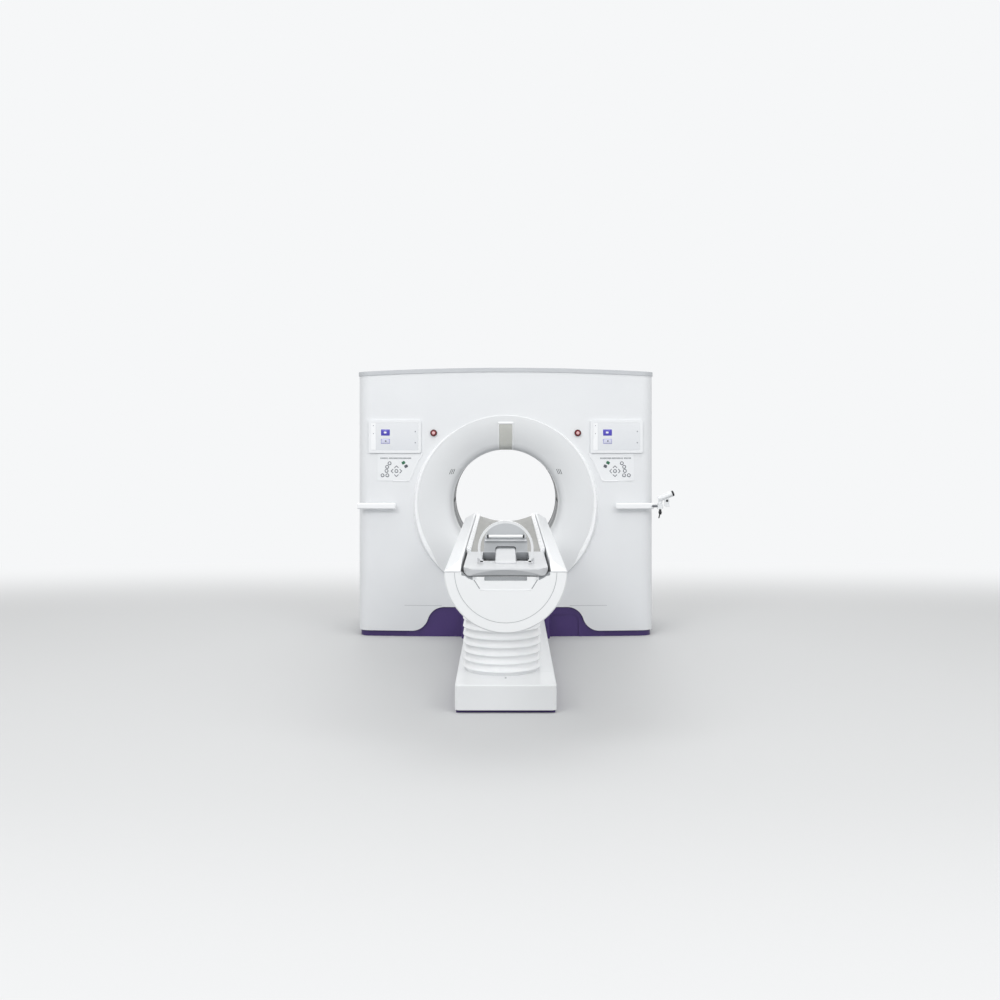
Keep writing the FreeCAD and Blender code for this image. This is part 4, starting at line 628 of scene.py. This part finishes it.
# places as x inward from the display's middle and z above the bore's axis; the last round key
# is the middle of the arrows
ROUND_KEYS = ((-0.040, 0.299), (-0.058, 0.272), (-0.063, 0.2416), (-0.093, 0.2086),
              (-0.057, 0.2086), (0.012, 0.241))
ARROW_KEYS = ((0.012, 0.271, 90), (-0.019, 0.241, 180), (0.043, 0.241, 0), (0.012, 0.2086, 270))
COLOUR_KEYS = (("green_key", (0.065, 0.3036)), ("dark_key", (0.085, 0.2775)))
CAPTION = ((-0.106, -0.054), (-0.043, 0.034), (0.044, 0.121))  # runs of plain bars
CAPTION_LEVEL, CAPTION_PITCH = 0.337, 0.0095
PAD_EDGE = ((0.204, 0.372), (0.197, 0.350), (0.150, 0.283), (0.112, 0.180), (0.099, 0.166),
            (-0.016, 0.166))
EDGE_BEAD, EDGE_STEPS = low_bead(0.0110, 0.0036), 60
# profiles of a round key's ring and cap, as (radius, lift)
KEY_RIM = ((0, -0.0003), (0.0142, -0.0003), (0.0142, 0.0008), (0.0130, 0.0012), (0.0095, 0.0012),
           (0.0086, 0.0004), (0, 0.0004))
KEY_FACE = ((0, -0.0003), (0.0086, -0.0002), (0.0084, 0.0006), (0.0060, 0.0013), (0, 0.0015))
# tiles, as width, height, corner and rings
ARROW_ARM = (0.0235, 0.0055, 0.0025, ((0, -0.0002), (0, 0.0008), (0.0006, 0.0012)))
CAPTION_BAR = (0.0065, 0.012, 0.001, ((0, -0.0003), (0, 0.0002), (0.0004, 0.0003)))
COLOUR_KEY = (0.026, 0.022, 0.006, ((0, -0.0003), (0, 0.0012), (0.0015, 0.0020), (0.004, 0.0022)))
ARROW_AHEAD, ARROW_ASIDE = 0.0015, 0.0075  # an arm's middle from its arrow's place


def keypad_keys(side, hand):
    """Embossed membrane keys: ringed round keys, four arrow keys about a centre, two colours."""
    middle, u, out = panel_place(side, ISO, KEYPAD_LIFT)
    inward = -side * u

    def at(x, z):
        """A keypad's place in the frame."""
        return middle + x * inward + z * UP

    rims = [dome(at(*place), u, UP, out, KEY_RIM) for place in ROUND_KEYS]
    faces = [dome(at(*place), u, UP, out, KEY_FACE) for place in ROUND_KEYS]
    for x, z, angle in ARROW_KEYS:
        turn = math.radians(angle)
        ahead = math.cos(turn) * inward + math.sin(turn) * UP
        aside = np.cross(out, ahead)
        for flank in (-1, 1):
            lean = unit(ahead + flank * aside)
            arm = at(x, z) + ARROW_AHEAD * ahead - flank * ARROW_ASIDE * aside
            rims.append(tile(arm, lean, np.cross(out, lean), out, *ARROW_ARM, 12))
    piece("key_rims_" + hand, rims, "frame", "key_rim")
    piece("key_faces_" + hand, faces, "frame", "key_face")
    bars = [tile(at(x, CAPTION_LEVEL), u, UP, out, *CAPTION_BAR, 8)
            for start, end in CAPTION for x in np.arange(start, end, CAPTION_PITCH)]
    piece("caption_bars_" + hand, bars, "frame", "caption")
    lean = unit(inward + 0.5 * UP)
    for kind, place in COLOUR_KEYS:
        key = tile(at(*place), lean, np.cross(out, lean), out, *COLOUR_KEY)
        piece(kind + "_" + hand, [key], "frame", kind)


def pad_edges():
    """Raised edge that runs down beside each keypad and under it, a touch whiter than the
    surround as a painted highlight on its bevel.
    """
    for side, hand in SIDES:
        corners = np.array([(side * (DISPLAY_X - x), ISO + z) for x, z in PAD_EDGE])
        share = np.linspace(0, len(corners) - 1, EDGE_STEPS)
        x, z = [np.interp(share, np.arange(len(corners)), line) for line in corners.T]
        path, out = on_front(x, z, lift=0.0002)
        piece("pad_edge_" + hand, [carried(path, out, EDGE_BEAD)], "frame", "light_mark")


# --- the gantry's small forms

STOP_X, STOP_Z, STOP_FACE = 0.540, 1.527, 0.0226  # face in front of the cover's
STOP_DISC = ((0, -0.001), (0.0118, -0.001), (0.0116, 0.0006), (0.0095, 0.0016), (0.005, 0.0022),
             (0, 0.0024))
SLOT_X, SLOT_Z, SLOT_PITCH = 0.402, 1.2365, 0.0125
SLOT_LEAN, SLOT_HALF, SLOT_BEAD = 0.008, 0.019, low_bead(0.0042, 0.0004)
STRIP_X, STRIP_TOP, STRIP_LOW = 0.053, ISO + 0.596, ISO + 0.405
STRIP_BEAD = low_bead(0.009, 0.0040)
HOOD_X, HOOD_Z, HOOD_BEAD = 0.058, ISO + 0.601, low_bead(0.020, 0.0070)
SEAM_X, SEAM_LOW, SEAM_TOP, SEAM_BEAD = 0.240, 0.226, 0.338, low_bead(0.0022, 0.0002)
CREASE_IN, CREASE_OUT, CREASE_Z, CREASE_BEAD = 0.480, 0.760, 0.2335, low_bead(0.0030, 0.0003)
LIP_EDGE, LIP_SHIFT, LIP_CHAMFER = 0.680, 0.020, 0.005
BAND_ENDS, BAND_GROWS, BAND_CLOSES = (115, 226), 55, 16  # degrees about the bore
BAND_REACH, BAND_START, BAND_WALL = 0.017, RIM + 0.001, 0.001
BAND_TOP, BAND_SINK = FACE - 0.0006, 0.0008  # its flat part, and its foot in the cover


def stop_centre(side, hand):
    """Painted highlight: a paler disc in the middle of an emergency stop, slightly crowned, for
    the light caught on its domed red cap.
    """
    x = side * STOP_X
    front = np.array((x, front_y(x) - STOP_FACE, STOP_Z))
    piece("stop_centre_" + hand, [dome(front, ACROSS, UP, TO_FOOT, STOP_DISC)], "stop_" + hand,
          "stop_centre")


def speaker_slots():
    """Three slanting slots in the funnel on each side of the bore, drawn as dark marks that paint
    the shade inside them.
    """
    slots = []
    for side in HANDS:
        lean = side * SLOT_LEAN
        for number in (-1, 0, 1):
            x = side * (SLOT_X - number * SLOT_PITCH)
            slots.append(bead_on(on_funnel, (x + lean, SLOT_Z - SLOT_HALF),
                                 (x - lean, SLOT_Z + SLOT_HALF), SLOT_BEAD, 9, lift=0.0003))
    piece("speaker_slots", slots, "frame", "slot")


def smooth_step(share):
    """0 below 0, 1 above 1, and 3 s^2 - 2 s^3 between."""
    share = np.clip(share, 0, 1)
    return share ** 2 * (3 - 2 * share)


def lip_bands():
    """Band on each side of the funnel, from its rim over the lip and down to the cover: a real
    bevel, drawn whiter than the cover as a painted highlight.

    Round the bore it starts where the lip is narrow; its outer edge is the lip's own circle,
    set lower than the bore, plus a reach that swells smoothly, and at its lower end it narrows
    to the lip's edge. Across, it is flat on the lip and then falls to the front face as a
    smooth step.
    """
    turn = np.radians(np.linspace(*BAND_ENDS, 91))[:, None]
    grown = smooth_step((turn - turn[0]) / math.radians(BAND_GROWS))
    closing = smooth_step((turn - turn[-1]) / math.radians(BAND_CLOSES) + 1)
    lip = LIP_EDGE - LIP_SHIFT * np.sin(turn)
    outer = lip + BAND_REACH * grown * (1 - closing)
    flat_edge = lip - LIP_CHAMFER
    inner = BAND_START + (flat_edge - BAND_START) * closing
    fall = np.linspace(0, 1, 13)
    radius = np.hstack([inner, flat_edge + (outer - flat_edge) * fall])
    x, z = radius * np.cos(turn), ISO + radius * np.sin(turn)
    step = np.concatenate([[0], smooth_step(fall)])
    y = BAND_TOP + (front_y(x) + BAND_SINK - BAND_TOP) * step
    for flip, hand in ((1, "left"), (-1, "right")):
        skin = np.stack([flip * x, y, z], axis=-1)
        under = skin[:, ::-1] + BAND_WALL * TO_GANTRY
        band = closed_tube(np.concatenate([skin, under], axis=1))
        piece("funnel_lip_highlight_band_" + hand, [band], "frame", "lip")


def strip_trim():
    """White edge along both sides of the laser window and the hood above it."""
    beads = [bead_on(on_funnel, (side * STRIP_X, STRIP_TOP), (side * STRIP_X, STRIP_LOW),
                     STRIP_BEAD, 40) for side in HANDS]
    beads.append(bead_on(on_funnel, (-HOOD_X, HOOD_Z), (HOOD_X, HOOD_Z), HOOD_BEAD, 16))
    piece("laser_window_trim", beads, "frame", "table_shell")


def cover_seams():
    """Fine joints in the front cover below the funnel, and grey lines that paint the shade along
    its creases.
    """
    seams = [bead_on(on_front, (side * SEAM_X, SEAM_LOW), (side * SEAM_X, SEAM_TOP),
                     SEAM_BEAD, 12, lift=0.0001) for side in HANDS]
    piece("front_cover_seams", seams, "frame", "seam")
    creases = [bead_on(on_front, (side * CREASE_IN, CREASE_Z), (side * CREASE_OUT, CREASE_Z),
                       CREASE_BEAD, 30, lift=0.0001) for side in HANDS]
    piece("front_cover_creases", creases, "frame", "groove")


CONTROLLER = np.array((1.156, -0.5412, 0.980))  # where the barrel meets its arm
BARREL_LEAN, BARREL_LONG = math.radians(22), 0.112
BARREL_PLACE, BUTTON_PLACE = np.array((-0.012, 0, 0.052)), np.array((0.051, -0.012, 0.041))
SLEEVE_START = 0.060  # from there back along the arm
BARREL_CAP = ((0, -0.004), (0.0214, -0.004), (0.0214, 0.006), (0.0195, 0.0095), (0.014, 0.011),
              (0, 0.0115))
PUSH_BUTTON = ((0, -0.001), (0.0095, -0.001), (0.0092, 0.003), (0.007, 0.0045), (0, 0.005))
ARM_SLEEVE = ((0, 0), (0.0088, 0), (0.0098, 0.001), (0.0098, 0.037), (0.0088, 0.038), (0, 0.038))


def controller_details():
    """Black cap on the hand controller's barrel, its push button and the sleeve on its arm."""
    lean = math.cos(BARREL_LEAN) * ACROSS + math.sin(BARREL_LEAN) * UP
    tip = CONTROLLER + BARREL_PLACE + BARREL_LONG * lean
    cap = dome(tip, TO_GANTRY, np.cross(lean, TO_GANTRY), lean, BARREL_CAP)
    button = dome(CONTROLLER + BUTTON_PLACE, ACROSS, UP, TO_FOOT, PUSH_BUTTON)
    piece("controller_black_parts", [cap, button], "controller_body", "black_nylon")
    sleeve = dome(CONTROLLER - SLEEVE_START * ACROSS, TO_GANTRY, UP, ACROSS, ARM_SLEEVE)
    piece("controller_arm_sleeve", [sleeve], "frame", "clamp")


# --- bellows and mat

BELLOWS_LOW, BELLOWS_HIGH, BELLOWS_CORNER = 0.158, 0.624, 0.062
FOLDS, FOLD, RIDGE_POWER, CLOTH = 10, 0.018, 2.4, 0.0022
FOLD_STEPS, OUTLINE_STEPS = 12, 36


def bellows_outline():
    """Plan of the bellows: half round at the foot end, rounded corners by the gantry.

    The turn of the outward direction drives it: on the half round the point is centre +
    radius * direction, and each corner does the same about its own centre.
    """
    def arc(x, y, radius, turn):
        """Points round a centre, and their outward directions' turn."""
        return x + radius * np.cos(turn), y + radius * np.sin(turn), turn

    def run(x, first, last, turn):
        """Points of a straight side, ends left out, and their outward direction's turn."""
        share = np.linspace(0, 1, OUTLINE_STEPS // 2, endpoint=False)[1:]
        return np.full_like(share, x), first + (last - first) * share, np.full_like(share, turn)

    low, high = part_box("bellows")
    half, middle = (high[0] - low[0]) / 2, (low[0] + high[0]) / 2
    foot, back = low[1] + half, high[1] - BELLOWS_CORNER
    inset, quarter = half - BELLOWS_CORNER, np.linspace(0, math.pi / 2, OUTLINE_STEPS // 3)
    parts = (arc(middle, foot, half, np.linspace(math.pi, 2 * math.pi, OUTLINE_STEPS)),
             run(middle + half, foot, back, 0.0),
             arc(middle + inset, back, BELLOWS_CORNER, quarter),
             arc(middle - inset, back, BELLOWS_CORNER, quarter + math.pi / 2),
             run(middle - half, back, foot, math.pi))
    x, y, turn = [np.concatenate(part) for part in zip(*parts)]
    return x, y, np.cos(turn), np.sin(turn)


def pleated_bellows():
    """Coated cloth folded in soft pleats, as a closed thin shell.

    Going up, the cloth lies inset from the outline by a fold times 1 - ridge, where ridge is
    half of 1 - cos of its level raised to a power that narrows the ridges and opens the
    valleys; coming down inside, it is its own thickness further in.
    """
    x, y, out_x, out_y = [part[:, None] for part in bellows_outline()]
    share = np.linspace(0, 1, FOLDS * FOLD_STEPS + 1)
    ridge = (0.5 - 0.5 * np.cos(2 * math.pi * FOLDS * share)) ** RIDGE_POWER
    inset = FOLD * (1 - ridge)
    height = BELLOWS_HIGH - BELLOWS_LOW
    level = BELLOWS_LOW + height * share
    inset = np.concatenate([inset, inset[::-1] + CLOTH])
    level = np.concatenate([level, level[::-1]])
    grid = np.stack([x - inset * out_x, y - inset * out_y,
                     np.broadcast_to(level, (len(x), len(level)))], axis=-1)
    skirt = piece("pleated_bellows", [patch(grid, around=True, across=True)], "frame", "bellows")
    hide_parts("bellows")
    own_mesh(skirt)


CRADLE_HALF, CRADLE_LEVEL, CRADLE_EDGE = 0.205, 0.900, 0.952
CRADLE_RISE = CRADLE_EDGE - CRADLE_LEVEL
DISH = (CRADLE_HALF ** 2 + CRADLE_RISE ** 2) / (2 * CRADLE_RISE)  # the hollow's radius
MAT_THICK, MAT_ROUND, MAT_CLEAR, MAT_INSET = 0.0070, 0.006, 0.0001, 0.0005
CROWN_POWER, QUILT_PITCH, QUILT_SHARE, QUILT_POWER = 14, 0.14, 0.05, 8


def foam_mat():
    """Thin foam mat lying in the cradle's hollow.

    Across, it follows the cradle's arc; its thickness is a flat crown that falls to a
    rounded edge, and the outline's two ends are rounded in the same way. A shallow crease,
    a high power of a cosine, crosses it at an even pitch.
    """
    low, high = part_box("mattress")
    half, length = high[0] - MAT_INSET, high[1] - low[1]
    across = np.sin(np.linspace(-math.pi / 2, math.pi / 2, 41))
    along = np.linspace(0, length, 121)
    from_end = np.clip(np.minimum(along, length - along) / MAT_ROUND, 0, 1)
    taper = np.sqrt(np.clip(1 - (1 - from_end) ** 2, 0, 1))
    crown = np.sqrt(np.clip(1 - np.abs(across) ** CROWN_POWER, 0, 1))
    quilt = 1 - QUILT_SHARE * np.cos(along / QUILT_PITCH * math.pi) ** QUILT_POWER
    thick = MAT_THICK * taper[:, None] * crown * quilt[:, None]
    x = np.broadcast_to(half * across, thick.shape)
    y = np.broadcast_to((low[1] + along)[:, None], thick.shape)
    floor = CRADLE_LEVEL + DISH - np.sqrt(DISH ** 2 - x ** 2)
    top = np.stack([x, y, floor + thick], axis=-1)
    under = np.stack([x, y, floor + MAT_CLEAR], axis=-1)[:, ::-1]
    grid = np.concatenate([top, under], axis=1)
    mat = piece("foam_mat", [patch(grid, across=True)], "cradle", "vinyl")
    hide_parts("mattress")


# --- the table's foot end

FOOT_END = -4.133
GROOVE_RADIUS, GROOVE_MIDDLE, GROOVE_BACK, GROOVE_ENDS = 0.2385, 0.923, 0.0014, (181, 359)
GROOVE_BEAD, SLANT_BEAD = low_bead(0.0026, 0.0004), low_bead(0.0044, 0.0005)
PANEL_HIGHLIGHT_BEAD, TONGUE_BEAD = low_bead(0.0036, 0.0006), low_bead(0.0042, 0.0005)
NOTCH_EDGE = np.array(((0.1545, 0.8805), (0.195, 0.8968), (0.2205, 0.9215)))
FRAME_CORNER, FRAME_ROUND = np.array((0.172, 0.930)), 0.029
STRAIGHT_SHARE, STRAIGHT_RUN = 0.375, 0.0175  # of the rows, before the corner starts
# depths of the grey plates that paint the shade in the notch and the pocket
SHADE_PLATE_FRONT, SHADE_PLATE_BACK = FOOT_END + 0.0152, FOOT_END + 0.0158
POCKET_PLACE = np.array((0, FOOT_END + 0.0118, 0.8895))
POCKET_SHADE_PLATE = (0.199, 0.0185, 0.004, ((0, -0.0001), (0, 0.0003)))
# the sunk panel's slants are painted shadow and its lip a painted highlight
PANEL_SLANT, PANEL_LIP, PANEL_LIP_Z = ((0.1480, 0.8855), (0.1215, 0.8440)), 0.119, 0.8368


def mirrored(place, side):
    """The place on one side of the table."""
    return np.array((side * place[0], place[1], place[2]))


def cap_line(points, y, bead):
    """Bead along straight runs on the end cap, given as (x, z) corners, at one depth."""
    runs = [np.linspace(first, last, 9)[:-1] for first, last in zip(points, points[1:])]
    flat = np.vstack([*runs, points[-1:]])
    path = np.stack([flat[:, 0], np.full(len(flat), y), flat[:, 1]], axis=-1)
    return carried(path, np.broadcast_to(TO_FOOT, path.shape), bead)


def notch_lining():
    """Painted shade: grey plates at the back of the end cap's notch and of the pocket under it,
    darker than the cap for the shade in those recesses.

    Each end plate lies between the notch's edge, an arc through three points, and the cradle
    frame's rounded corner, with a running gap: its rows run from the edge to the corner and
    back on its other face.
    """
    share = np.linspace(0, 1, 25)[:, None]
    first, middle, last = NOTCH_EDGE
    pull = 2 * middle - (first + last) / 2
    edge = (1 - share) ** 2 * first + 2 * share * (1 - share) * pull + share ** 2 * last
    turn = np.clip((share - STRAIGHT_SHARE) / (1 - STRAIGHT_SHARE), 0, 1) * math.pi / 2
    corner = FRAME_CORNER + FRAME_ROUND * np.hstack([np.sin(turn), -np.cos(turn)])
    corner[:, 0:1] -= STRAIGHT_RUN * np.clip(1 - share / STRAIGHT_SHARE, 0, 1)
    corner[:, 1] = np.minimum(corner[:, 1], last[1])
    plates = []
    for side in HANDS:
        rows = [np.stack([side * line[:, 0], np.full(len(line), y), line[:, 1]], axis=-1)
                for line, y in ((edge, SHADE_PLATE_FRONT), (corner, SHADE_PLATE_FRONT),
                                (corner, SHADE_PLATE_BACK), (edge, SHADE_PLATE_BACK))]
        plates.append(closed_tube(np.stack(rows, axis=1)))
    plates.append(tile(POCKET_PLACE, ACROSS, UP, TO_FOOT, *POCKET_SHADE_PLATE))
    piece("notch_lining", plates, "table_top", "lining", smooth=False)


def cap_lines():
    """Painted shadow in the end cap's groove and beside its sunk panel, and a painted highlight
    along the panel's lip.
    """
    turn = np.radians(np.linspace(*GROOVE_ENDS, 90))
    path = np.stack([GROOVE_RADIUS * np.cos(turn), np.full_like(turn, FOOT_END + GROOVE_BACK),
                     GROOVE_MIDDLE + GROOVE_RADIUS * np.sin(turn)], axis=-1)
    groove = carried(path, np.broadcast_to(TO_FOOT, path.shape), GROOVE_BEAD)
    piece("end_cap_groove", [groove], "table_top", "groove")
    slants = [cap_line([(side * x, z) for x, z in PANEL_SLANT], FOOT_END + 0.0001, SLANT_BEAD)
              for side in HANDS]
    piece("sunk_panel_shadows", slants, "table_top", "lining")
    ends = ((-PANEL_LIP, PANEL_LIP_Z), (PANEL_LIP, PANEL_LIP_Z))
    lip = cap_line(ends, FOOT_END, PANEL_HIGHLIGHT_BEAD)
    piece("sunk_panel_lip_highlight", [lip], "table_top", "light_mark")


# tiles, as width, height, corner and rings
PLATE_RINGS = ((0, -0.0001), (0, 0.0002), (0.0006, 0.0004))
# the hand openings' plates paint the shade in them, and the bead's tile paints a highlight on the
# back plate's bead
HAND_SHADE_PLATE, BEAD_HIGHLIGHT_TILE = (0.063, 0.034, 0.004, PLATE_RINGS), (0.218, 0.0092, 0.003, PLATE_RINGS)
OPENING, BEAD_HIGHLIGHT_PLACE = (0.086, -3.4252, 0.922), np.array((0, -3.4221, 1.0015))
TONGUE_ARCH = ((-0.052, 0.953), (-0.050, 0.962), (-0.043, 0.9665), (0.043, 0.9665),
               (0.050, 0.962), (0.052, 0.953))
TONGUE_Y = -3.4123
ROLLER_END = (0.0885, -3.436, 1.023)
ROLLER_RING = ((0, 0), (0.0080, 0), (0.0084, 0.0006), (0.0084, 0.0078), (0.0078, 0.0086),
               (0, 0.0086))


def cradle_end_details():
    """Painted shade in the hand openings, a painted highlight on the back plate's bead and
    painted shade in the gap above the tongue.
    """
    pads = [tile(mirrored(OPENING, side), ACROSS, UP, TO_FOOT, *HAND_SHADE_PLATE) for side in HANDS]
    piece("hand_opening_shade_plates", pads, "cradle", "tray")
    bead = tile(BEAD_HIGHLIGHT_PLACE, ACROSS, UP, TO_FOOT, *BEAD_HIGHLIGHT_TILE)
    piece("back_plate_bead_highlight", [bead], "cradle", "light_mark")
    piece("tongue_gap_shade", [cap_line(TONGUE_ARCH, TONGUE_Y, TONGUE_BEAD)], "cradle", "slot")
    rings = [dome(mirrored(ROLLER_END, side), UP, np.cross(side * ACROSS, UP), side * ACROSS,
                  ROLLER_RING) for side in HANDS]
    piece("roller_end_rings", rings, "roller", "black_nylon")


BASE_CAP_PLACE = np.array((0.0, -2.812, BELLOWS_LOW))
BASE_CAP = ((0, -0.0005), (0.0062, -0.0005), (0.0060, 0.0012), (0.0045, 0.0020), (0, 0.0022))
HOOP_FOOT = (0.1172, -3.933, 0.955)
BOOT = (0.0152, 0.0192, 0.004, ((0.001, -0.0092), (0, -0.008), (0, 0.0088), (0.0015, 0.0102)))


def base_button():
    """Small round cap over a fixing on the base's top, ahead of the bellows."""
    button = dome(BASE_CAP_PLACE, ACROSS, TO_GANTRY, UP, BASE_CAP)
    piece("base_fixing_cap", [button], "frame", "key_rim")


def hoop_boots():
    """Black boots over the hoop's feet."""
    boots = [tile(mirrored(HOOP_FOOT, side), ACROSS, TO_GANTRY, UP, *BOOT) for side in HANDS]
    piece("hoop_boots", boots, "hoop", "black_nylon")


# --- floor and background

FLOOR_REACH = 40  # metres from its middle to each edge
FADE_SHIFT, FADE_SCALE = (0.0, 0.34, 0.0), (0.10, 0.22, 1.0)  # an oval below the table
FADE_FROM, FADE_TO = 0.55, 1.35


def soft_floor():
    """Seamless grey floor that fades to the backdrop's colour away from the object.

    It throws back less light than it shows, so that the object isn't lit from below.
    """
    finish, tree, shader, place = start_finish("painted_studio_floor", "DADBDD", 0.75)
    seen = seen_directly(tree)
    tone = add(tree, "ShaderNodeMix", {MIX_SHARE: seen, MIX_A: colour("A0A2A4"),
                                       MIX_B: colour("C6C7C8")}, data_type="RGBA")
    tree.links.new(tone.outputs[MIX_RESULT], shader.inputs["Base Color"])
    backdrop = add(tree, "ShaderNodeEmission", {"Color": colour(BACKDROP), "Strength": 1.0})
    oval = add(tree, "ShaderNodeMapping", {"Vector": place, "Location": FADE_SHIFT,
                                           "Scale": FADE_SCALE})
    distance = add(tree, "ShaderNodeVectorMath", {0: oval.outputs[0]}, operation="LENGTH")
    fade = add(tree, "ShaderNodeMapRange", {"Value": distance.outputs["Value"],
                                            "From Min": FADE_FROM, "From Max": FADE_TO},
               interpolation_type="SMOOTHERSTEP")
    share = add(tree, "ShaderNodeMath", {0: fade.outputs[0], 1: seen}, operation="MULTIPLY")
    mixed = add(tree, "ShaderNodeMixShader", {0: share.outputs[0], 1: shader.outputs[0],
                                              2: backdrop.outputs[0]})
    output = [node for node in tree.nodes if node.type == "OUTPUT_MATERIAL"][0]
    tree.links.new(mixed.outputs[0], output.inputs["Surface"])
    mesh = bpy.data.meshes.new("studio_floor")
    near, far = -FLOOR_REACH, FLOOR_REACH
    corners = [(near, near, 0), (far, near, 0), (far, far, 0), (near, far, 0)]
    mesh.from_pydata(corners, [], [(0, 1, 2, 3)])
    mesh.materials.append(finish)
    floor = bpy.data.objects.new("studio_floor", mesh)
    bpy.context.scene.collection.objects.link(floor)


def seen_directly(tree):
    """1 for rays of the camera, of glossy reflection and of transmission."""
    path = add(tree, "ShaderNodeLightPath")
    glossy = add(tree, "ShaderNodeMath", {0: path.outputs["Is Camera Ray"],
                                          1: path.outputs["Is Glossy Ray"]}, operation="MAXIMUM")
    both = add(tree, "ShaderNodeMath", {0: glossy.outputs[0],
                                        1: path.outputs["Is Transmission Ray"]},
               operation="MAXIMUM")
    return both.outputs[0]


def set_world():
    """Even ambient light, with the pale backdrop where the camera looks past the object."""
    world = bpy.data.worlds.new("studio")
    bpy.context.scene.world = world
    world.use_nodes = True
    tree = world.node_tree
    tree.nodes.clear()
    ambient = add(tree, "ShaderNodeBackground", {"Color": colour("F9F9F8"), "Strength": 0.82})
    backdrop = add(tree, "ShaderNodeBackground", {"Color": colour(BACKDROP), "Strength": 1.0})
    mixed = add(tree, "ShaderNodeMixShader", {0: seen_directly(tree), 1: ambient.outputs[0],
                                              2: backdrop.outputs[0]})
    add(tree, "ShaderNodeOutputWorld", {"Surface": mixed.outputs[0]})


# --- everything together

def main():
    """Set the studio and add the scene's own pieces to the dressed nodes."""
    bpy.context.scene.view_settings.view_transform = "Standard"
    set_camera()
    set_world()
    set_lights()
    soft_floor()
    for side, hand in SIDES:
        display_layout(side, hand)
        keypad_keys(side, hand)
        stop_centre(side, hand)
    speaker_slots()
    strip_trim()
    lip_bands()
    cover_seams()
    pad_edges()
    controller_details()
    pleated_bellows()
    foam_mat()
    notch_lining()
    cap_lines()
    cradle_end_details()
    base_button()
    hoop_boots()


main()
